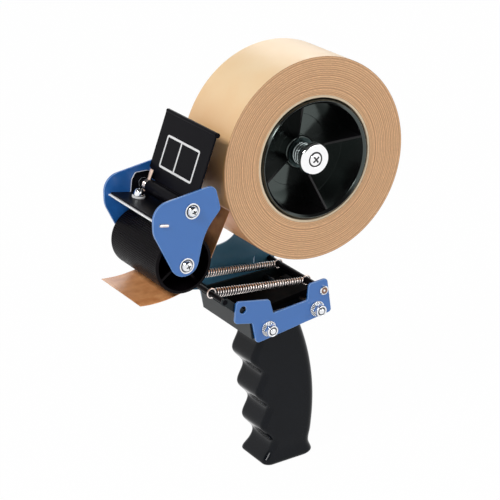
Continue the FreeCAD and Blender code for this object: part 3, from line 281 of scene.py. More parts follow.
def off_axis(place, axis):
    """Distance of a place from an axis."""
    return math.hypot(place[0] - axis[0], place[2] - axis[2])


def round_axis(place, axis):
    """Angle of a place round an axis."""
    return math.atan2(place[2] - axis[2], place[0] - axis[0])


def push_in(corner, axis, depth):
    """Move a corner towards an axis."""
    share = depth / off_axis(corner.co, axis)
    corner.co.x -= (corner.co.x - axis[0]) * share
    corner.co.z -= (corner.co.z - axis[2]) * share


def from_seat(seat, *points):
    """Outline of (radius, rise) points in millimetres, the rise from a seat along Y."""
    return [(radius * MM, seat + rise * MM) for radius, rise in points]


# Shapes that come up again

def block(name, size, centre=(0, 0, 0), turn=0.0):
    """Box, turned round the Y axis, to be shaped further."""
    deselect()
    bpy.ops.mesh.primitive_cube_add(size=1, location=centre, rotation=(0, turn, 0))
    piece = newest(name)
    piece.scale = size
    return settle(piece)


def patch(name, left, right, low, high, level):
    """Flat rectangle, to be shaped further."""
    deselect()
    bpy.ops.mesh.primitive_plane_add(size=1, location=((left + right) / 2, (low + high) / 2, level))
    piece = newest(name)
    piece.scale = (right - left, high - low, 1)
    return settle(piece)


def turned(name, outline, centre, steps=96):
    """Closed outline of (radius, place along Y) points, spun once round an axis along Y."""
    deselect()
    bpy.ops.mesh.primitive_circle_add(vertices=len(outline), radius=1)
    piece = newest(name)
    for corner, (radius, along) in zip(piece.data.vertices, outline):
        corner.co = Vector((centre[0] + radius, along, centre[2]))
    open_up(piece)
    bpy.ops.mesh.spin(steps=steps, angle=FULL_TURN, center=(centre[0], 0, centre[2]), axis=(0, 1, 0))
    close_up()
    return clean(piece)


def rod(name, radius, low, high, centre):
    """Plain shank, to be joined to its head."""
    return turned(name, [(0, low), (radius, low), (radius, high), (0, high)], centre, 32)


def rounded(outline, radius, steps=3):
    """Round every corner of a closed outline a little."""
    result = []
    total = len(outline)
    for index in range(total):
        before, here, after = (Vector(outline[(index + shift) % total]) for shift in (-1, 0, 1))
        back = before - here
        ahead = after - here
        reach = min(radius, back.length * 0.45, ahead.length * 0.45)
        start = here + back.normalized() * reach
        end = here + ahead.normalized() * reach
        for step in range(steps + 1):
            t = step / steps
            spot = start * (1 - t) ** 2 + here * 2 * t * (1 - t) + end * t ** 2
            result.append((spot.x, spot.y))
    return result


def coil(name, radius_from, radius_to, wire, turns, length, sides, steps, sense=1):
    """Coil of round wire along Z from the origin, its ends closed."""
    deselect()
    bpy.ops.mesh.primitive_circle_add(
        vertices=sides, radius=wire, fill_type="NOTHING", rotation=(math.pi / 2, 0, 0),
    )
    piece = newest(name)
    settle(piece)
    piece.data.transform(Matrix.Translation((radius_from, 0, 0)))
    winding = piece.modifiers.new("winding", "SCREW")
    winding.axis = "Z"
    winding.angle = FULL_TURN * turns * sense
    winding.screw_offset = length
    winding.steps = int(steps * turns)
    winding.render_steps = winding.steps
    winding.use_merge_vertices = False
    apply_all(piece)
    for corner in piece.data.vertices:
        share = min(1.0, max(0.0, corner.co.z / length))
        flat = math.hypot(corner.co.x, corner.co.y)
        scale = (flat + (radius_to - radius_from) * share) / flat
        corner.co.x *= scale
        corner.co.y *= scale
    open_up(piece)
    bpy.ops.mesh.fill_holes(sides=sides)
    bpy.ops.mesh.normals_make_consistent(inside=False)
    close_up()
    return smooth(piece, 60)


def along_line(start, end):
    """Matrix that lays the Z axis from start towards end."""
    way = (end - start).normalized()
    side = AXIS_Y if abs(way.y) < 0.9 else Vector((1, 0, 0))
    turn = side.cross(way).normalized()
    return Matrix.Translation(start) @ Matrix((turn, way.cross(turn), way)).transposed().to_4x4()


def bent_wire(name, points, radius):
    """Round wire through a few points, with rounded bends."""
    deselect()
    line = bpy.data.curves.new(name, "CURVE")
    line.dimensions = "3D"
    line.bevel_depth = radius
    line.bevel_resolution = 3
    line.use_fill_caps = True
    run = line.splines.new("NURBS")
    run.points.add(len(points) - 1)
    for spot, point in zip(run.points, points):
        spot.co = (*point, 1)
    run.order_u = 3
    run.use_endpoint_u = True
    run.resolution_u = 10
    piece = bpy.data.objects.new(name, line)
    bpy.context.scene.collection.objects.link(piece)
    alone(piece)
    bpy.ops.object.convert(target="MESH")
    return smooth(clean(bpy.context.object), 60)


def from_model(node, name, flat=True):
    """Copy of a node's mesh with its seams closed; flat faces are made whole again."""
    source = nodes[node]
    piece = source.copy()
    piece.data = source.data.copy()
    for key in list(piece.keys()):
        del piece[key]
    piece.parent = None
    piece.matrix_world = Matrix.Identity(4)
    bpy.context.scene.collection.objects.link(piece)
    piece.data.materials.clear()
    named(piece, name)
    open_up(piece)
    bpy.ops.mesh.remove_doubles(threshold=2e-6)
    bpy.ops.mesh.delete_loose()
    if flat:
        select_whole()
        bpy.ops.mesh.dissolve_limited(angle_limit=math.radians(0.6))
    close_up()
    return piece


# Finishes

def new_group(name, inputs, outputs):
    """Node group with named inputs and outputs, and the sockets inside it."""
    group = bpy.data.node_groups.new(name, "ShaderNodeTree")
    for label, kind, value in inputs:
        socket = group.interface.new_socket(name=label, in_out="INPUT", socket_type=kind)
        if value is not None:
            socket.default_value = value
    for label, kind in outputs:
        group.interface.new_socket(name=label, in_out="OUTPUT", socket_type=kind)
    return group, group.nodes.new("NodeGroupInput").outputs, group.nodes.new("NodeGroupOutput").inputs


def feed(tree, socket, value):
    """Feed a socket with another node's output or a plain value; plain colours are opaque."""
    if isinstance(value, bpy.types.NodeSocket):
        tree.links.new(value, socket)
    elif socket.type == "RGBA":
        socket.default_value = (*value[:3], 1)
    else:
        socket.default_value = value


def add(tree, kind, inputs=None, **settings):
    """New node with its settings and inputs."""
    node = tree.nodes.new(kind)
    for key, value in settings.items():
        setattr(node, key, value)
    for key, value in (inputs or {}).items():
        feed(tree, node.inputs[key], value)
    return node


def maths(tree, operation, *values, clamp=False):
    """Result of a sum on values or other nodes' outputs."""
    inputs = dict(enumerate(values))
    return add(tree, "ShaderNodeMath", inputs, operation=operation, use_clamp=clamp).outputs[0]


def noise(tree, place, scale, detail):
    """Soft noise in space."""
    return add(tree, "ShaderNodeTexNoise", {"Vector": place, "Scale": scale, "Detail": detail}).outputs["Fac"]


def noise_along(tree, place, scale, detail):
    """Soft noise along a line."""
    inputs = {"W": place, "Scale": scale, "Detail": detail}
    return add(tree, "ShaderNodeTexNoise", inputs, noise_dimensions="1D").outputs["Fac"]


def blended(tree, share, colour_a, colour_b):
    """Colour between two others."""
    return add(tree, "ShaderNodeMix", {0: share, 6: colour_a, 7: colour_b}, data_type="RGBA").outputs[2]


FLOAT = "NodeSocketFloat"
VECTOR = "NodeSocketVector"
COLOUR = "NodeSocketColor"


def make_mottle_group():
    """Cloudy and fine variation between two colours."""
    group, entry, leave = new_group("mottle", (
        ("Vector", VECTOR, None), ("Scale", FLOAT, 100.0), ("Contrast", FLOAT, 0.5),
        ("Colour A", COLOUR, (1, 1, 1, 1)), ("Colour B", COLOUR, (0, 0, 0, 1)),
    ), (("Color", COLOUR), ("Value", FLOAT)))
    spread = maths(group, "SUBTRACT", noise(group, entry["Vector"], entry["Scale"], 4.0), 0.5)
    gain = maths(group, "MULTIPLY", spread, entry["Contrast"])
    level = maths(group, "ADD", gain, 0.5, clamp=True)
    group.links.new(blended(group, level, entry["Colour A"], entry["Colour B"]), leave["Color"])
    group.links.new(level, leave["Value"])
    return group


def make_grain_group():
    """Fine pitted texture, as a height."""
    group, entry, leave = new_group(
        "grain", (("Vector", VECTOR, None), ("Scale", FLOAT, 1500.0)), (("Height", FLOAT),),
    )
    fine = noise(group, entry["Vector"], entry["Scale"], 3.0)
    cells = add(group, "ShaderNodeTexVoronoi", {"Vector": entry["Vector"], "Scale": entry["Scale"]})
    group.links.new(maths(group, "ADD", fine, cells.outputs["Distance"]), leave["Height"])
    return group


def make_layers_group():
    """Rings round an axis along Y, as wound tape or board shows at its edge."""
    group, entry, leave = new_group("layers", (
        ("Vector", VECTOR, None), ("Pitch", FLOAT, 0.002), ("Waver", FLOAT, 0.3),
    ), (("Value", FLOAT), ("Fine", FLOAT)))
    parts = add(group, "ShaderNodeSeparateXYZ", {0: entry["Vector"]}).outputs
    flat = add(group, "ShaderNodeCombineXYZ", {"X": parts["X"], "Y": 0.0, "Z": parts["Z"]}).outputs[0]
    radius = add(group, "ShaderNodeVectorMath", {0: flat}, operation="LENGTH").outputs["Value"]
    turns = maths(group, "DIVIDE", radius, entry["Pitch"])
    sway = maths(group, "MULTIPLY", noise(group, entry["Vector"], 9.0, 0.0), entry["Waver"])
    place = maths(group, "ADD", turns, sway)
    uneven = maths(group, "MULTIPLY", noise_along(group, place, 0.45, 0.0), 5.0)
    wave = maths(group, "SINE", maths(group, "MULTIPLY_ADD", place, FULL_TURN, uneven))
    cloud = maths(group, "MULTIPLY_ADD", noise_along(group, place, 0.8, 2.0), 0.24, 0.38)
    dense = maths(group, "MULTIPLY", place, 2.6)
    group.links.new(maths(group, "MULTIPLY_ADD", wave, 0.17, cloud), leave["Value"])
    group.links.new(noise_along(group, dense, 1.0, 1.0), leave["Fine"])
    return group


MOTTLE = make_mottle_group()
GRAIN = make_grain_group()
LAYERS = make_layers_group()


class Finish:
    """A material and the few nodes that most of them share."""

    def __init__(self, name, roughness, metallic=0.0, centre=None, **plain):
        self.material = bpy.data.materials.new(name)
        self.material.use_nodes = True
        self.tree = self.material.node_tree
        self.shader = self.tree.nodes["Principled BSDF"].inputs
        for socket, value in {"Roughness": roughness, "Metallic": metallic, **plain}.items():
            feed(self.tree, self.shader[socket.replace("_", " ")], value)
        self.place = add(self.tree, "ShaderNodeTexCoord").outputs["Object"]
        if centre is not None:
            shift = {"Vector": self.place, "Location": tuple(-centre)}
            self.place = add(self.tree, "ShaderNodeMapping", shift).outputs["Vector"]

    def group(self, group, **inputs):
        node = add(self.tree, "ShaderNodeGroup", node_tree=group)
        for key, value in {"Vector": self.place, **inputs}.items():
            feed(self.tree, node.inputs[key.replace("_", " ")], value)
        return node.outputs

    def mottled(self, colour_a, colour_b, scale, contrast=1.5):
        """Cloudy base colour between two tones."""
        cloud = self.group(MOTTLE, Scale=scale, Contrast=contrast, Colour_A=colour_a, Colour_B=colour_b)
        feed(self.tree, self.shader["Base Color"], cloud["Color"])

    def uneven_gloss(self, low, high, scale):
        """Roughness that wanders between two values."""
        cloud = self.group(MOTTLE, Scale=scale, Contrast=2.0)["Value"]
        level = add(self.tree, "ShaderNodeMapRange", {"Value": cloud, "To Min": low, "To Max": high})
        feed(self.tree, self.shader["Roughness"], level.outputs["Result"])

    def by_place(self, axis, low, high, colour_low, colour_high):
        """Colour that changes between two places along an axis."""
        along = add(self.tree, "ShaderNodeSeparateXYZ", {0: self.place}).outputs[axis]
        share = add(self.tree, "ShaderNodeMapRange", {"Value": along, "From Min": low, "From Max": high},
                    interpolation_type="SMOOTHSTEP")
        return blended(self.tree, share.outputs["Result"], colour_low, colour_high)

    def ramped(self, value, colour_low, colour_high, low=0.0, high=1.0):
        """Colour that follows a value."""
        ramp = add(self.tree, "ShaderNodeValToRGB", {"Fac": value})
        stops = ramp.color_ramp.elements
        stops[0].position, stops[1].position = low, high
        stops[0].color, stops[1].color = (*colour_low, 1), (*colour_high, 1)
        return ramp.outputs["Color"]

    def bump(self, height, strength, distance):
        """Raise the surface by a height, and hand back the finished material."""
        raised = {"Height": height, "Strength": strength, "Distance": distance}
        bump = add(self.tree, "ShaderNodeBump", raised)
        feed(self.tree, self.shader["Normal"], bump.outputs["Normal"])
        return self.material

    def grained(self, scale, strength, distance=0.1 * MM):
        return self.bump(self.group(GRAIN, Scale=scale)["Height"], strength, distance)


def moulded(name, colour, lighter, roughness, grain_scale, strength, shine=0.5, sheen=(1, 1, 1)):
    """Moulded plastic with a fine grain."""
    finish = Finish(name, roughness, Specular_IOR_Level=shine, Specular_Tint=sheen)
    finish.mottled(colour, lighter, 60.0)
    finish.uneven_gloss(roughness - 0.05, roughness + 0.08, 90.0)
    return finish.grained(grain_scale, strength, 0.2 * MM)


def enamelled(name, colour, lighter, roughness, shine=0.5, coat=0.25, coat_roughness=0.12):
    """Sprayed enamel with a trace of orange peel."""
    finish = Finish(
        name, roughness, Specular_IOR_Level=shine, Coat_Weight=coat, Coat_Roughness=coat_roughness,
    )
    finish.mottled(colour, lighter, 35.0)
    finish.uneven_gloss(roughness - 0.04, roughness + 0.06, 50.0)
    return finish.grained(700.0, 0.12)


def plated(name, colour, darker, roughness, strength=0.05):
    """Bright plating, a little uneven."""
    finish = Finish(name, roughness, metallic=1.0)
    finish.mottled(colour, darker, 300.0, 2.2)
    finish.uneven_gloss(roughness * 0.7, roughness * 1.6, 250.0)
    return finish.grained(900.0, strength)


def bare_metal(name, colour, roughness, metallic):
    """Cut or drawn metal with a dull, even shine."""
    return Finish(name, roughness, metallic, Base_Color=colour).grained(900.0, 0.1)


def shaded_blue():
    """Inner side of the far plates: blue at the head, with painted shade turning it a darker grey-green behind the
    roll and the tray.
    """
    finish = Finish("blue_enamel_painted_shade", 0.36, Coat_Weight=0.6, Coat_Roughness=0.2)
    deep = finish.by_place("X", SHADE_FULL_TO, SHADE_GONE_FROM, (0.052, 0.19, 0.32), (0.014, 0.135, 0.47))
    light = finish.by_place("X", SHADE_FULL_TO, SHADE_GONE_FROM, (0.062, 0.21, 0.35), (0.020, 0.150, 0.50))
    finish.mottled(deep, light, 35.0)
    return finish.grained(700.0, 0.12)


def wound_tape():
    """Edge of the wound tape: hundreds of thin layers, some a little proud."""
    finish = Finish("wound_tape_edge", 0.62, centre=roll_axis)
    rings = finish.group(LAYERS, Pitch=1.25 * MM, Waver=0.25)
    tone = finish.ramped(rings["Value"], (0.39, 0.182, 0.075), (0.91, 0.565, 0.305), 0.34, 0.60)
    finish.mottled(tone, (0.60, 0.35, 0.19), 700.0, 1.7)
    return finish.bump(rings["Fine"], 0.25, 0.3 * MM)


def tape_back():
    """Smooth outer face of the tape, tan with a faint cloud; painted light makes it paler towards its top, painted
    shade keeps it deeper tan below.
    """
    finish = Finish("tape_back", 0.42, centre=roll_axis, Coat_Weight=0.35, Coat_Roughness=0.35)
    # colour runs from painted shade low on the roll to painted light at its top
    painted_shade_to, painted_light_from = -5 * MM, 58 * MM
    deep = finish.by_place("Z", painted_shade_to, painted_light_from, (0.84, 0.40, 0.135), (0.95, 0.66, 0.36))
    light = finish.by_place("Z", painted_shade_to, painted_light_from, (0.89, 0.48, 0.19), (0.97, 0.73, 0.44))
    finish.mottled(deep, light, 45.0, 2.0)
    finish.uneven_gloss(0.36, 0.5, 60.0)
    return finish.grained(1400.0, 0.06)


def tape_film():
    """Free tape: thin brown film with its adhesive."""
    finish = Finish("tape_film", 0.38, Coat_Weight=0.2, Coat_Roughness=0.3)
    finish.mottled((0.60, 0.225, 0.075), (0.84, 0.40, 0.165), 130.0, 2.6)
    return finish.grained(500.0, 0.18, 0.2 * MM)


def core_board():
    """Pale cardboard, with the layers it is wound from."""
    finish = Finish("core_board", 0.8, centre=roll_axis)
    rings = finish.group(LAYERS, Pitch=0.6 * MM, Waver=0.2)
    tone = finish.ramped(rings["Value"], (0.62, 0.45, 0.28), (0.92, 0.80, 0.60))
    feed(finish.tree, finish.shader["Base Color"], tone)
    return finish.grained(900.0, 0.3, 0.2 * MM)


GRIP_PLASTIC = moulded(
    "grip_plastic", (0.0036, 0.0046, 0.0068), (0.0056, 0.0069, 0.0098), 0.12, 1100.0, 0.05, 0.15,
)
ROLLER_PLASTIC = moulded(
    "roller_plastic", (0.0024, 0.0014, 0.0023), (0.0042, 0.0030, 0.0042), 0.30, 900.0, 0.12, 0.07,
)
HUB_PLASTIC = moulded(
    "hub_plastic", (0.0024, 0.0018, 0.0021), (0.0038, 0.0031, 0.0035), 0.13, 900.0, 0.02,
    shine=1.0, sheen=(0.84, 1, 0.95),
)
HUB_RIBS = moulded("hub_ribs", (0.0030, 0.0026, 0.0030), (0.0046, 0.0040, 0.0046), 0.32, 900.0, 0.02, 0.26)
# darker, hardly reflecting grip plastic: painted shade inside the tray
GRIP_PLASTIC_PAINTED_SHADE = moulded("grip_plastic_painted_shade", (0.003, 0.0028, 0.003), (0.005, 0.0046, 0.005), 0.7, 900.0, 0.1, 0.03)
LABEL_PRINT = moulded("label_print", (0.78, 0.78, 0.78), (0.86, 0.86, 0.86), 0.45, 900.0, 0.05)
TRAY_ENAMEL = enamelled("tray_enamel", (0.006, 0.011, 0.0135), (0.009, 0.015, 0.018), 0.30, 0.2, 0.06)
BLACK_ENAMEL = enamelled("black_enamel", (0.0032, 0.0029, 0.0046), (0.005, 0.0046, 0.0068), 0.32, 0.04, 0.0)
BLUE_ENAMEL = enamelled("blue_enamel", (0.017, 0.142, 0.475), (0.024, 0.157, 0.505), 0.36, 0.5, 0.8, 0.2)
# paler blue for the broken plate edges: a painted highlight
BLUE_EDGE_PAINTED_HIGHLIGHT = enamelled("blue_enamel_edge_painted_highlight", (0.10, 0.25, 0.56), (0.20, 0.36, 0.66), 0.30, 0.5, 0.3)
SHADED_BLUE = shaded_blue()
PLATING = plated("bright_plating", (0.92, 0.93, 0.95), (0.76, 0.78, 0.81), 0.10)
POLISHED = plated("polished_plating", (0.98, 0.98, 0.98), (0.94, 0.94, 0.95), 0.05, 0.0)
DARK_PLATING = plated("dark_plating", (0.055, 0.080, 0.080), (0.020, 0.030, 0.030), 0.25)
# dark steel as painted shade, for recesses, crevices, coil insides and shanks inside the tray
STEEL_PAINTED_SHADE = plated("steel_painted_shade", (0.12, 0.115, 0.115), (0.05, 0.048, 0.048), 0.28)
RIVET_DISH = plated("rivet_dish", (0.34, 0.20, 0.15), (0.12, 0.06, 0.04), 0.3)
SPRING_CREST = plated("spring_crest", (1.0, 0.94, 0.91), (0.95, 0.84, 0.79), 0.24)
SPRING_WIRE = plated("spring_wire", (1.0, 0.92, 0.88), (0.82, 0.68, 0.62), 0.12)
DULL_WIRE = plated("dull_wire", (0.66, 0.74, 0.74), (0.30, 0.34, 0.34), 0.12)
# warm-tinted wire: a painted reflection of the tape
WIRE_PAINTED_REFLECTION = bare_metal("wire_painted_reflection", (1.0, 0.74, 0.60), 0.35, 0.35)
# pale metal for sawn edges: a painted highlight
EDGE_PAINTED_HIGHLIGHT = bare_metal("edge_painted_highlight", (0.80, 0.80, 0.82), 0.45, 0.2)
BLADE_STEEL = bare_metal("blade_steel", (0.97, 0.97, 0.98), 0.42, 0.35)
TAPE_EDGE = wound_tape()
TAPE_BACK = tape_back()
TAPE_FILM = tape_film()
CORE_BOARD = core_board()

FINISH_OF_SLOT = {
    "grip_plastic": GRIP_PLASTIC, "roller_plastic": ROLLER_PLASTIC, "hub_plastic": HUB_PLASTIC,
    "tray_enamel": TRAY_ENAMEL, "black_enamel": BLACK_ENAMEL, "blue_enamel": BLUE_ENAMEL,
    "bright_plating": PLATING, "spring_wire": SPRING_WIRE, "blade_steel": BLADE_STEEL,
    "core_board": CORE_BOARD, "tape_brown": TAPE_BACK,
}

# Every node gets its own finish, whether or not a finer piece stands for it
for node, thing in nodes.items():
    coated(thing, FINISH_OF_SLOT[slot_of_node[node]])


# Sheet metal and plain metal, broken at their edges

def sheet_metal(node):
    piece = from_model(node, node + "_sheet")
    if node == "handle_tray":
        # its rear wall stays just ahead of the brackets' edges
        rear_wall, setback = 2.2 * MM, 0.8 * MM
        for corner in piece.data.vertices:
            if corner.co.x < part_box(node)[0].x + rear_wall:
                corner.co.x += setback
    soften(piece, 0.25 * MM, 2, 30, clamp=False)
    smooth(piece, 30)
    coated(piece, FINISH_OF_SLOT[slot_of_node[node]])
    if node == "blade_holder":
        # the sawn edges of its ears are painted pale as a painted highlight
        ear_side, ear_foot = 28.2 * MM, blade_axis.z + 1 * MM
        piece.data.materials.append(EDGE_PAINTED_HIGHLIGHT)
        faces_to(piece, 1, lambda face: abs(face.center.y) > ear_side and abs(face.normal.y) < 0.9
                 and face.center.z > ear_foot)
    return hand_over(piece, node)


def painted_plate(node):
    """Blue plate; its broken edges are painted paler as a painted highlight."""
    piece = from_model(node, node + "_sheet")
    soften(piece, 0.3 * MM, 2, 30, clamp=False)
    smooth(piece, 40)
    coated(piece, BLUE_ENAMEL, BLUE_EDGE_PAINTED_HIGHLIGHT)
    # the bevel faces get the paler blue as a painted highlight
    faces_to(piece, 1, lambda face: 0.2 < abs(face.normal.y) < 0.95)
    if node in ("side_plate", "far_bracket"):
        # the side towards the roll and the tray carries painted shade, behind the head its edges too
        piece.data.materials.append(SHADED_BLUE)
        faces_to(piece, 2, lambda face: face.normal.y > (0.95 if face.center.x > SHADE_FULL_TO else -0.2))
    return hand_over(piece, node)


def plain_metal(node):
    piece = from_model(node, node + "_metal")
    soften(piece, 0.15 * MM, 1, 40)
    smooth(piece, 30)
    coated(piece, FINISH_OF_SLOT[slot_of_node[node]])
    if node == "through_bolts":
        # their shanks inside the tray are painted dark as painted shade
        piece.data.materials.append(STEEL_PAINTED_SHADE)
        faces_to(piece, 1, lambda face: abs(face.center.y) < 30 * MM)
    return hand_over(piece, node)


def make_plates():
    for node in ("side_plate", "near_head_plate", "near_bracket", "far_bracket"):
        painted_plate(node)
    for node in ("handle_tray", "blade_holder", "guard_plate"):
        sheet_metal(node)
    for node in (
        "blade", "blade_bar", "clamp_nuts", "roller_axle", "guard_rod", "rear_spring_rod",
        "front_spring_bar", "hub_axle_nut", "hub_axle_washer", "through_bolts",
    ):
        plain_metal(node)


def make_grip():
    """Grip in satin plastic; what stands inside the tray gets painted shade, a darker finish that hardly reflects.
    """
    piece = from_model("handle_grip", "grip", flat=False)
    smooth(piece, 38)
    coated(piece, GRIP_PLASTIC, GRIP_PLASTIC_PAINTED_SHADE)
    # faces of the grip inside the tray get the painted shade
    tray_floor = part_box("handle_tray")[0].z + 1.5 * MM
    neck_top, neck_slope = 107.5 * MM, 0.123
    faces_to(piece, 1, lambda face: face.center.z > max(tray_floor, neck_top - neck_slope * face.center.x))
    hand_over(piece, "handle_grip")


# Fasteners

def cut_cross(piece, centre, size, degrees, taper=1.0):
    """Cut a cross recess into an end that faces +Y; its floor may be smaller by a taper."""
    for turn in (degrees, degrees + 90):
        tool = block("recess_tool", size, centre, math.radians(turn))
        open_up(tool)
        pick(tool, "FACE", lambda face: face.normal.y < -0.9)
        bpy.ops.transform.resize(value=(taper, 1, taper), center_override=tuple(centre))
        close_up()
        cut_with(piece, tool)
    return clean(piece, gap=5e-6)


def pan_head(name, radius, height, seat, centre):
    """Domed head with a cross recess, facing +Y from its seat."""
    crown = seat + height
    dome = ((0, 0), (0.35, 0.04), (0.65, 0.16), (0.88, 0.42), (0.985, 0.72))
    outline = [(radius * out, crown - height * drop) for out, drop in dome]
    outline += [(radius, seat + 0.1 * MM), (radius * 0.97, seat), (0, seat)]
    head = turned(name, outline, centre, 48)
    cut_cross(head, (centre[0], crown, centre[2]), (radius * 1.3, height * 1.1, radius * 0.32), 12, 0.45)
    coated(head, PLATING, STEEL_PAINTED_SHADE)
    # the walls of the cross recess are darkened as painted shade
    faces_to(head, 1, lambda face: seat < face.center.y < crown - 0.4 * MM
             and off_axis(face.center, centre) < radius * 0.66 and not 0.3 < face.normal.y < 0.995)
    return smooth(head, 35)


def flat_washer(name, bore, radius, low, high, centre, steps=48):
    outline = rounded([(bore, low), (radius, low), (radius, high), (bore, high)], 0.15 * MM, 2)
    return smooth(turned(name, outline, centre, steps), 35)


def make_head_fasteners():
    """Pan-head screws on grooved washers, at both ends of the roller axle and the guard rod."""
    seat, top = plate_near + 0.02 * MM, plate_near + 0.9 * MM
    screw = pan_head("head_screw", 3.4 * MM, 2.9 * MM, top - 0.4 * MM, roller_axis)
    shank = rod("head_shank", 2 * MM, plate_near - 6 * MM, top, roller_axis)
    screw = join([screw, shank], "head_screw")
    washer = turned("head_washer", rounded([
        (2.1 * MM, seat), (4.8 * MM, seat), (4.8 * MM, top), (4.0 * MM, top),
        (3.8 * MM, top - 0.5 * MM), (2.1 * MM, top - 0.5 * MM),
    ], 0.12 * MM, 2), roller_axis, 48)
    coated(smooth(washer, 35), PLATING, STEEL_PAINTED_SHADE)
    # the groove inside the washer's raised rim is darkened as painted shade
    faces_to(washer, 1, lambda face: face.center.y > seat + 0.2 * MM
             and off_axis(face.center, roller_axis) < 3.95 * MM)
    to_guard = guard_axis - roller_axis
    places = ((to_guard, False), (Vector(), True), (to_guard, True))
    hand_over(join([screw] + twins(screw, places), "head_screw_set"), "head_screws")
    hand_over(join([washer] + twins(washer, places), "head_washer_set"), "head_washers")


def make_lock_nut(seat, crown, axis):
    """Hexagon with a locking ring on top and the bolt's domed tip in it."""
    hexagon = turned("nut_hexagon", rounded(
        from_seat(seat, (0, 0), (4.03, 0), (4.03, 3.1), (0, 3.1)), 0.2 * MM, 2), axis, 6)
    chamfer = turned("nut_chamfer", from_seat(
        seat, (0, -0.1), (3.75, -0.1), (4.3, 0.5), (4.3, 2.6), (3.6, 3.25), (0, 3.25)), axis, 48)
    cut_with(hexagon, chamfer, "INTERSECT")
    clean(hexagon, gap=5e-6)
    collar = seat + 3.0 * MM
    ring = turned("nut_ring", rounded(from_seat(
        collar, (1.9, 0), (3.5, 0), (3.7, 0.5), (3.65, 1.5), (3.2, 1.95), (2.75, 1.9), (2.5, 1.4),
        (2.45, 0.3), (1.9, 0.3)), 0.2 * MM, 2), axis, 48)
    dome = from_seat(crown, (0, 0), (0.8, -0.08), (1.4, -0.3), (1.8, -0.65), (2, -1.15))
    tip = turned("bolt_tip", dome + from_seat(seat, (2, 0), (0, 0)), axis, 40)
    nut = smooth(join([hexagon, ring, tip], "lock_nut"), 32)
    coated(nut, PLATING, STEEL_PAINTED_SHADE)
    # the gap between the locking ring and the bolt's tip is darkened as painted shade
    faces_to(nut, 1, lambda face: face.center.y > collar - 0.2 * MM
             and 1.95 * MM < off_axis(face.center, axis) < 2.48 * MM)
    return nut


def make_toothed_washer(seat, axis, teeth=24):
    """Washer under a nut, with teeth pressed into its rim."""
    washer = flat_washer("bolt_washer", 2.1 * MM, 4.9 * MM, seat - 0.9 * MM, seat - 0.02 * MM, axis, 96)
    for corner in washer.data.vertices:
        if off_axis(corner.co, axis) > 4 * MM and corner.co.y > seat - 0.5 * MM:
            corner.co.y -= 0.35 * MM * (0.5 + 0.5 * math.cos(teeth * round_axis(corner.co, axis)))
    coated(washer, PLATING, STEEL_PAINTED_SHADE)
    # the dips between the teeth are darkened as painted shade
    faces_to(washer, 1, lambda face: face.center.y > seat - 0.6 * MM
             and off_axis(face.center, axis) < 4.72 * MM
             and math.cos(teeth * round_axis(face.center, axis)) > 0.2)
    return washer


def make_handle_fasteners():
    """Lock nuts at the near ends of the through bolts, and toothed washers at both ends."""
    low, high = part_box("lock_nuts")
    front = Vector(frame["joints"][0]["pos_m"])
    front.y = 0
    to_rear = Vector((low.x + high.x, 0, low.z + high.z)) - 2 * front
    places = ((to_rear, False),)
    nut = make_lock_nut(low.y, high.y, front)
    hand_over(join([nut] + twins(nut, places), "lock_nut_set"), "lock_nuts")
    washer = make_toothed_washer(low.y, front)
    across = span("bolt_washers")[0] - (low.y - 0.9 * MM)
    far = twin(washer, "bolt_washer_far", Matrix.Translation((0, across, 0)))
    washers = [washer, far] + twins(washer, places) + twins(far, places)
    hand_over(join(washers, "bolt_washer_set"), "bolt_washers")


def make_clamp_screws():
    """Two pan-head screws that hold the blade, upright on its slope."""
    half, behind_bar = 16 * MM, 8.2 * MM
    origin = Vector((0, 0, 0))
    head = pan_head("clamp_screw", 3.3 * MM, 4.6 * MM, 4.0 * MM, origin)
    washer = flat_washer("clamp_washer", 2 * MM, 4.0 * MM, 2.72 * MM, 3.9 * MM, origin)
    shank = rod("clamp_shank", 2 * MM, -2.6 * MM, 3.6 * MM, origin)
    screw = smooth(join([head, washer, shank], "clamp_screw"), 35)
    upright = Matrix.Rotation(math.pi / 2, 4, "X")
    screw.data.transform(blade_slope @ Matrix.Translation((-behind_bar, half, 0)) @ upright)
    screws = join([screw] + twins(screw, ((Vector((0, -2 * half, 0)), False),)), "clamp_screw_set")
    hand_over(screws, "clamp_screws")


# Springs

def make_extension_springs():
    """Close coils with a hook at each end, between the front bar and the rear rod."""
    hook, wire, coil_wire = 2.9 * MM, 0.52 * MM, 0.47 * MM
    bar_radius, rod_radius = 1.75 * MM, 2.15 * MM
    narrow, wide, turns = 1.8 * MM, 2.55 * MM, 35
    along = (front_bar_axis - rear_rod_axis).normalized()
    front_eye = front_bar_axis - along * (hook - wire - bar_radius)
    rear_eye = rear_rod_axis + along * (hook - wire - rod_radius)
    start = rear_eye + along * (hook - 0.3 * MM)
    end = front_eye - along * (hook - 0.3 * MM)
    length = (end - start).length
    for node in ("near_spring", "far_spring"):
        shift = Vector((0, middle(node).y, 0))
        body = coil(node + "_coil", narrow, wide, coil_wire, turns, length, 10, 18, sense=-1)
        coated(body, SPRING_CREST, STEEL_PAINTED_SHADE)
        # only the crest of each turn is bright; the inner side of the wire is darkened as painted shade
        faces_to(body, 1, lambda face: math.hypot(face.center.x, face.center.y)
                 < narrow + 0.1 * MM + (wide - narrow) * face.center.z / length)
        body.data.transform(along_line(start + shift, end + shift))
        eyes = []
        for eye in (front_eye, rear_eye):
            deselect()
            bpy.ops.mesh.primitive_torus_add(
                location=eye + shift, rotation=(math.pi / 2, 0, 0), major_radius=hook, minor_radius=wire,
                major_segments=40, minor_segments=8,
            )
            eyes.append(coated(smooth(settle(newest("spring_hook")), 60), SPRING_WIRE))
        piece = join([body] + eyes, node + "_coil")
        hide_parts(node)
        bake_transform(piece)


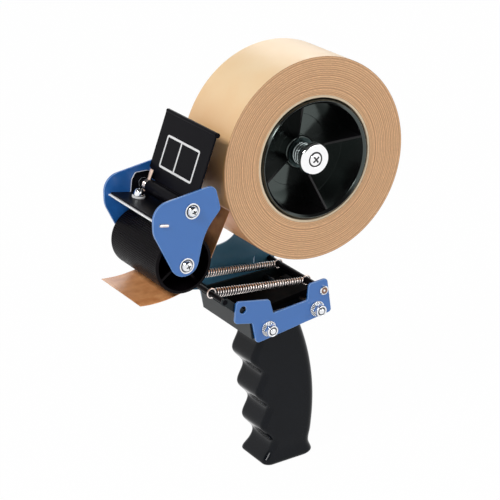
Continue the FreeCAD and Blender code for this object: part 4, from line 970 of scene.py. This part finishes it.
def make_brake():
    """Washer, coil and knurled knob on the end of the hub axle."""
    low, high = span("brake_spring")
    wire = 0.75 * MM
    spring = coil("brake_coil", 6.8 * MM, 6.8 * MM, wire, 4, high - low - 2 * wire, 10, 32)
    spring.data.transform(along_line(roll_axis + AXIS_Y * (low + wire), roll_axis + AXIS_Y * high))
    hand_over(coated(spring, DULL_WIRE), "brake_spring")

    low, high = span("brake_washer")
    washer = flat_washer("brake_cup", 4.1 * MM, 9.3 * MM, low, high, roll_axis, 64)
    hand_over(coated(washer, DARK_PLATING), "brake_washer")

    low, high = span("brake_knob")
    edge, knurls = 10 * MM, 60
    outline = from_seat(low, (4.15, 0), (9.2, 0), (10, 0.7))
    outline += from_seat(high, (10, -1.1), (8.9, 0), (4.9, 0), (4.4, -0.8), (4.15, -0.8))
    knob = turned("knurled_knob", rounded(outline, 0.25 * MM, 2), roll_axis, 240)
    for corner in knob.data.vertices:
        on_side = low + 0.4 * MM < corner.co.y < high - 1.3 * MM
        if on_side and off_axis(corner.co, roll_axis) > edge - 0.3 * MM:
            wave = 0.5 + 0.5 * math.cos(knurls * round_axis(corner.co, roll_axis))
            push_in(corner, roll_axis, 0.28 * MM * wave)
    smooth(knob, 35)
    coated(knob, POLISHED, STEEL_PAINTED_SHADE)
    # the recess round the axle end is darkened as painted shade
    faces_to(knob, 1, lambda face: off_axis(face.center, roll_axis) < 4.75 * MM)
    hand_over(knob, "brake_knob")


def make_hub_axle():
    """Axle of the roll, with its collar on the side plate and a domed end with a cross recess."""
    low, high = span("hub_axle")
    collar = span("hub_axle_washer")[1] + 1.6 * MM
    outline = from_seat(low, (0, 0), (3.6, 0), (4.0, 0.5))
    outline += from_seat(collar, (4.0, 0), (8.2, 0), (8.5, 0.3), (8.5, 1.3), (8.2, 1.6), (4.0, 1.6))
    outline += from_seat(high, (4.0, -1.0), (3.75, -0.6), (3.1, -0.25), (1.8, -0.05), (0, 0))
    axle = turned("roll_axle", outline, roll_axis, 64)
    cut_cross(axle, (roll_axis.x, high, roll_axis.z), (5.0 * MM, 2.4 * MM, 1.1 * MM), 35)
    smooth(axle, 35)
    coated(axle, POLISHED, STEEL_PAINTED_SHADE)
    # the walls of the cross recess are darkened as painted shade
    faces_to(axle, 1, lambda face: high - 1.3 * MM < face.center.y < high - 0.3 * MM
             and off_axis(face.center, roll_axis) < 2.8 * MM)
    hand_over(axle, "hub_axle")


def make_guard_bead():
    """Rolled top edge of the guard, a little proud of its front."""
    radius, bore = 1.2 * MM, 0.3 * MM
    centre = GUARD_TOP - guard_up * radius - guard_ahead * 0.75 * MM
    half = span("guard_plate")[1] - 0.35 * MM
    outline = rounded([(bore, -half), (radius, -half), (radius, half), (bore, half)], 0.2 * MM, 2)
    bead = turned("guard_bead", outline, centre, 40)
    hand_over(coated(smooth(bead, 35), BLACK_ENAMEL), body="guard")


def make_bar_ends():
    """Upset ends of the blade bar outside the head plates."""
    for name, face in (("bar_end_near", plate_near), ("bar_end_far", plate_far)):
        end = block(name, (5.5 * MM, 1.7 * MM, 1.7 * MM), (0, face, 0))
        soften(end, 0.45 * MM, 3)
        end.data.transform(blade_slope)
        hand_over(coated(smooth(end, 40), SPRING_WIRE), body="frame")


def make_guard_spring():
    """Wire coil on the guard rod, its leg lying up the back of the guard and flattened there."""
    low, high = span("guard_spring")
    wire, leg_wire, reach = 0.45 * MM, 0.62 * MM, 9.7
    spring = coil("guard_coil", 3.75 * MM, 3.75 * MM, wire, 3.25, high - low - 2 * wire, 8, 28)
    spring.data.transform(along_line(guard_axis + AXIS_Y * (low + wire), guard_axis + AXIS_Y * high))
    y = (low + high) / 2
    bends = ((3.7, -2.5), (3.4, -1.5), (0.9, 1.1), (-1.2, 6.0), (-2.8, reach))
    leg = bent_wire("guard_leg", [guard_axis + Vector((x * MM, y, z * MM)) for x, z in bends], leg_wire)
    for corner in leg.data.vertices:
        share = min(1.0, max(0.0, (corner.co.z - guard_axis.z) / (reach * MM)))
        corner.co.y = y + (corner.co.y - y) * (1.7 + 1.5 * share)
    coated(spring, SPRING_WIRE)
    # the leg's warm tint is a painted reflection of the tape
    coated(leg, WIRE_PAINTED_REFLECTION)
    hand_over(join([spring, leg], "guard_coil"), "guard_spring")


def make_rivets():
    """Bright riveted ends of the rear rod, dished in the middle."""
    far_face = -span("rear_spring_rod")[0] - 0.9 * MM
    for name, face, mirrored in (("rod_rivet_near", plate_near, False), ("rod_rivet_far", far_face, True)):
        rivet = turned(name, from_seat(
            face, (0, 0.02), (2.95, 0.02), (2.95, 1.0), (2.6, 1.35), (2.15, 1.32), (1.85, 1.02), (1.2, 0.98),
            (0.7, 1.2), (0, 1.24)), rear_rod_axis, 40)
        if mirrored:
            rivet.data.transform(MIRROR_Y)
            rivet.data.flip_normals()
        coated(smooth(rivet, 35), PLATING, RIVET_DISH)
        faces_to(rivet, 1, lambda face: 0.9 * MM < off_axis(face.center, rear_rod_axis) < 2.1 * MM)
        hand_over(rivet, body="frame")


# Roller, hub and tape

def make_roller():
    """Black roller with fine lengthwise grooves, spoked inside."""
    axis = roller_axis
    outer, inner, hub, bore = 18.5 * MM, 16.6 * MM, 6.2 * MM, 3.05 * MM
    half, web = 28.6 * MM, 0.95 * MM
    grooves, groove_depth = 84, 0.34 * MM
    shell = turned("grooved_roller", rounded([
        (inner, -half), (outer - 0.25 * MM, -half), (outer, -half + 0.5 * MM),
        (outer, -half + 1.4 * MM), (outer, -half + 1.7 * MM), (outer, half - 1.7 * MM),
        (outer, half - 1.4 * MM), (outer, half - 0.5 * MM), (outer - 0.25 * MM, half),
        (inner, half), (inner, 0.2 * MM), (inner, -0.2 * MM),
    ], 0.08 * MM, 1), axis, grooves * 4)
    for corner in shell.data.vertices:
        if off_axis(corner.co, axis) > outer - 0.02 * MM and abs(corner.co.y) < half - 1.5 * MM:
            wave = max(0.0, math.cos(grooves * round_axis(corner.co, axis))) ** 0.7
            push_in(corner, axis, groove_depth * wave)
    hub_half = span("roller")[1]
    tube = turned("roller_tube", rounded([
        (bore, -hub_half), (hub, -hub_half), (hub, -web), (inner + 0.1 * MM, -web), (inner + 0.1 * MM, web),
        (hub, web), (hub, hub_half), (bore, hub_half),
    ], 0.25 * MM, 2), axis, 96)
    spokes = []
    for number in range(4):
        size = (inner - hub + 0.6 * MM, 2 * (half - 4 * MM), 1.7 * MM)
        spoke = block("roller_spoke", size, ((hub + inner) / 2, 0, 0))
        soften(spoke, 0.35 * MM, 2)
        turn = Matrix.Rotation(math.radians(-56 - 90 * number), 4, "Y")
        spoke.data.transform(Matrix.Translation(axis) @ turn)
        spokes.append(spoke)
    piece = smooth(join([shell, tube] + spokes, "grooved_roller"), 28)
    hand_over(coated(piece, ROLLER_PLASTIC), "roller")


def make_hub_rib(boss, inner):
    """Rib that rises from the boss to the rim."""
    rib = block("hub_rib", (inner - boss + 0.8 * MM, 37 * MM, 1.6 * MM), ((boss + inner) / 2, 6.5 * MM, 0))
    open_up(rib)
    pick(rib, "EDGE", lambda edge: all(end.co.y > 0 and end.co.x < boss + 1 * MM for end in edge.verts))
    bpy.ops.transform.translate(value=(0, -15 * MM, 0))
    close_up()
    return soften(rib, 0.3 * MM, 2)


def make_hub():
    """Hub of the roll: stepped rim, web with a raised ring, boss and four rising ribs."""
    bottom, near = span("roll_hub")
    rim, inner, boss, bore = 37.5 * MM, 34.6 * MM, 10.5 * MM, 4.05 * MM
    web, boss_front = 1.5 * MM, 8.4 * MM
    ridge, proud = 22.3 * MM, 0.06 * MM
    shell = turned("hub_shell", rounded([
        (bore, bottom), (boss, bottom), (boss, -web), (inner, -web), (inner, -near), (rim, -near),
        (rim, near - 2.2 * MM), (rim - 1.0 * MM, near - 0.3 * MM), (rim - 1.3 * MM, near),
        (inner, near - 1.6 * MM), (inner, web), (ridge + 0.5 * MM, web), (ridge + 0.35 * MM, web + proud),
        (ridge + 0.1 * MM, web + proud), (ridge - 0.05 * MM, web), (boss, web), (boss, boss_front - 0.8 * MM),
        (boss - 0.8 * MM, boss_front), (bore, boss_front),
    ], 0.25 * MM, 2), roll_axis, 128)
    coated(shell, HUB_PLASTIC)
    pieces = [shell]
    for number in range(4):
        place = Matrix.Translation(roll_axis) @ Matrix.Rotation(-math.radians(77.5 + 90 * number), 4, "Y")
        grip = block("hub_grip_ridge", (0.9 * MM, 2 * 23.6 * MM, 1.6 * MM), (rim + 0.1 * MM, 0, 0))
        for piece in (make_hub_rib(boss, inner), soften(grip, 0.2 * MM, 2)):
            piece.data.transform(place)
            pieces.append(coated(piece, HUB_RIBS))
    hand_over(smooth(join(pieces, "spoked_hub"), 30), "roll_hub")


def make_tape():
    """Wound tape with a softly stepped edge, on its cardboard core."""
    half = 25 * MM
    outer, bore, wall = 63.2 * MM, 38.1 * MM, 1.5 * MM
    inside = bore + wall
    drawn = random.Random(7)
    turns = 34

    def layer(number, count):
        """Radius of the middle of one of the layers."""
        return inside + (outer - inside) * (number + 0.5) / count

    outline = [(inside, -half + 0.3 * MM)]
    outline += [(layer(number, turns), -half + drawn.uniform(0.0, 0.16) * MM) for number in range(turns)]
    outline += [(outer - 0.1 * MM, -half + 0.05 * MM), (outer, -half + 0.2 * MM), (outer, half - 0.2 * MM),
                (outer - 0.1 * MM, half - 0.05 * MM)]
    fine = turns * 2
    outline += [(layer(number, fine), half - drawn.uniform(0.0, 0.14) * MM)
                for number in reversed(range(fine))]
    outline.append((inside, half - 0.3 * MM))
    roll = smooth(turned("wound_tape", outline, roll_axis, 160), 50)
    coated(roll, TAPE_BACK, TAPE_EDGE)
    faces_to(roll, 1, lambda face: abs(face.normal.y) > 0.5)
    hand_over(roll, "tape_roll")
    core = turned("cardboard_core", rounded([
        (bore, -half + 0.1 * MM), (inside, -half + 0.1 * MM),
        (inside, half - 0.1 * MM), (bore, half - 0.1 * MM),
    ], 0.3 * MM, 2), roll_axis, 128)
    hand_over(coated(smooth(core, 35), CORE_BOARD), "tape_core")


def make_free_tape():
    """Tape from the roll, round the back and bottom of the roller, to its curling free end."""
    piece = from_model("tape_strip", "free_tape", flat=False)
    hand_over(coated(smooth(piece, 40), TAPE_FILM), "tape_strip")


def make_label():
    """Bare printed frame with rounded corners and a divider, on the front of the guard."""
    line, corner_radius, level, thickness = 1.35 * MM, 1.6 * MM, 0.02 * MM, 0.06 * MM
    left, right, low, high = -19.5 * MM, 19.2 * MM, -3.9 * MM, 16.4 * MM
    divider = -2.2 * MM

    border = patch("label_frame", left, right, low, high, level)
    open_up(border)
    bpy.ops.mesh.bevel(offset=corner_radius, segments=5, affect="VERTICES")
    select_whole()
    bpy.ops.mesh.inset(thickness=line, depth=0)
    bpy.ops.mesh.delete(type="FACE")
    close_up()
    bar = patch("label_divider", divider - line / 2, divider + line / 2, low + line, high - line, level)
    for piece in (border, bar):
        open_up(piece)
        bpy.ops.mesh.extrude_region_move(TRANSFORM_OT_translate={"value": (0, 0, thickness)})
        close_up()
        clean(piece)
    piece = join([border, bar], "label_frame")
    on_guard = Matrix((AXIS_Y, guard_up, guard_ahead)).transposed().to_4x4()
    piece.data.transform(Matrix.Translation(GUARD_FRONT) @ on_guard)
    hand_over(coated(smooth(piece, 30), LABEL_PRINT), body="guard")


make_plates()
make_grip()
make_head_fasteners()
make_handle_fasteners()
make_clamp_screws()
make_extension_springs()
make_brake()
make_hub_axle()
make_guard_bead()
make_bar_ends()
make_guard_spring()
make_rivets()
make_roller()
make_hub()
make_tape()
make_free_tape()
make_label()


# Studio

def seen_or_mirrored(tree):
    """One for what the camera sees, straight or in a shiny or clear surface."""
    path = add(tree, "ShaderNodeLightPath").outputs
    seen = maths(tree, "MAXIMUM", path["Is Camera Ray"], path["Is Glossy Ray"])
    return maths(tree, "MAXIMUM", seen, path["Is Transmission Ray"])


def make_floor():
    """Pale floor that keeps a faint shadow of the dispenser."""
    deselect()
    bpy.ops.mesh.primitive_plane_add(size=30, location=(0, 0, -0.5 * MM))
    floor = newest("studio_floor")
    material = bpy.data.materials.new("studio_floor")
    material.use_nodes = True
    tree = material.node_tree
    shader = tree.nodes["Principled BSDF"]
    feed(tree, shader.inputs["Base Color"], (0.86, 0.86, 0.86))
    shader.inputs["Roughness"].default_value = 0.9
    light = add(tree, "ShaderNodeEmission", {"Color": (1, 1, 1), "Strength": 1.0})
    share = maths(tree, "MULTIPLY", seen_or_mirrored(tree), 0.985)
    blend = add(tree, "ShaderNodeMixShader", {0: share, 1: shader.outputs[0], 2: light.outputs[0]})
    tree.links.new(blend.outputs[0], tree.nodes["Material Output"].inputs["Surface"])
    coated(floor, material)


def make_world():
    """Even light all round; a white backdrop under a dark ceiling is what shows and mirrors."""
    world = bpy.data.worlds.new("studio")
    bpy.context.scene.world = world
    world.use_nodes = True
    tree = world.node_tree
    soft = tree.nodes["Background"]
    feed(tree, soft.inputs["Color"], (1, 1, 1))
    soft.inputs["Strength"].default_value = 0.34
    way = add(tree, "ShaderNodeSeparateXYZ", {0: add(tree, "ShaderNodeTexCoord").outputs["Generated"]})
    ceiling = add(tree, "ShaderNodeMapRange", {
        "Value": way.outputs["Z"], "From Min": 0.42, "From Max": 0.72, "To Min": 1.0, "To Max": 0.06,
    }, interpolation_type="SMOOTHSTEP")
    backdrop = add(tree, "ShaderNodeBackground", {"Color": (1, 1, 1), "Strength": ceiling.outputs["Result"]})
    share = seen_or_mirrored(tree)
    blend = add(tree, "ShaderNodeMixShader", {0: share, 1: soft.outputs[0], 2: backdrop.outputs[0]})
    tree.links.new(blend.outputs[0], tree.nodes["World Output"].inputs["Surface"])


def soft_box(name, place, size, power):
    """Square lamp that faces the dispenser."""
    lamp = bpy.data.lights.new(name, "AREA")
    lamp.size = size
    lamp.energy = power
    stand = bpy.data.objects.new(name, lamp)
    bpy.context.scene.collection.objects.link(stand)
    stand.location = place
    aim = Vector((0, 0, 0.14)) - Vector(place)
    stand.rotation_euler = aim.to_track_quat("-Z", "Y").to_euler()


def make_camera():
    """Long lens where the photographer stood, rolled a little to the right."""
    data = bpy.data.cameras.new("studio_camera")
    data.lens = 129.918
    data.sensor_width = 36.0
    data.clip_start = 0.05
    data.clip_end = 50
    camera = bpy.data.objects.new("studio_camera", data)
    bpy.context.scene.collection.objects.link(camera)
    stand = Vector((528.9134, 886.5835, 565.3154)) * MM
    ahead = Vector((-0.4652818, -0.7994332, -0.3800255)).normalized()
    roll = math.radians(-2.45286)
    level = ahead.cross(Vector((0, 0, 1))).normalized()
    turn = Matrix((level, level.cross(ahead), -ahead)).transposed().to_4x4()
    camera.matrix_world = Matrix.Translation(stand) @ turn @ Matrix.Rotation(roll, 4, "Z")
    bpy.context.scene.camera = camera


make_floor()
make_world()
soft_box("key", (0.95, 0.35, 1.15), 0.38, 10.5)
soft_box("fill", (-0.7, 1.3, 0.7), 0.9, 6.0)
soft_box("rim", (-0.75, -1.05, 0.8), 0.8, 3.2)
make_camera()
bpy.context.scene.view_settings.view_transform = "Standard"
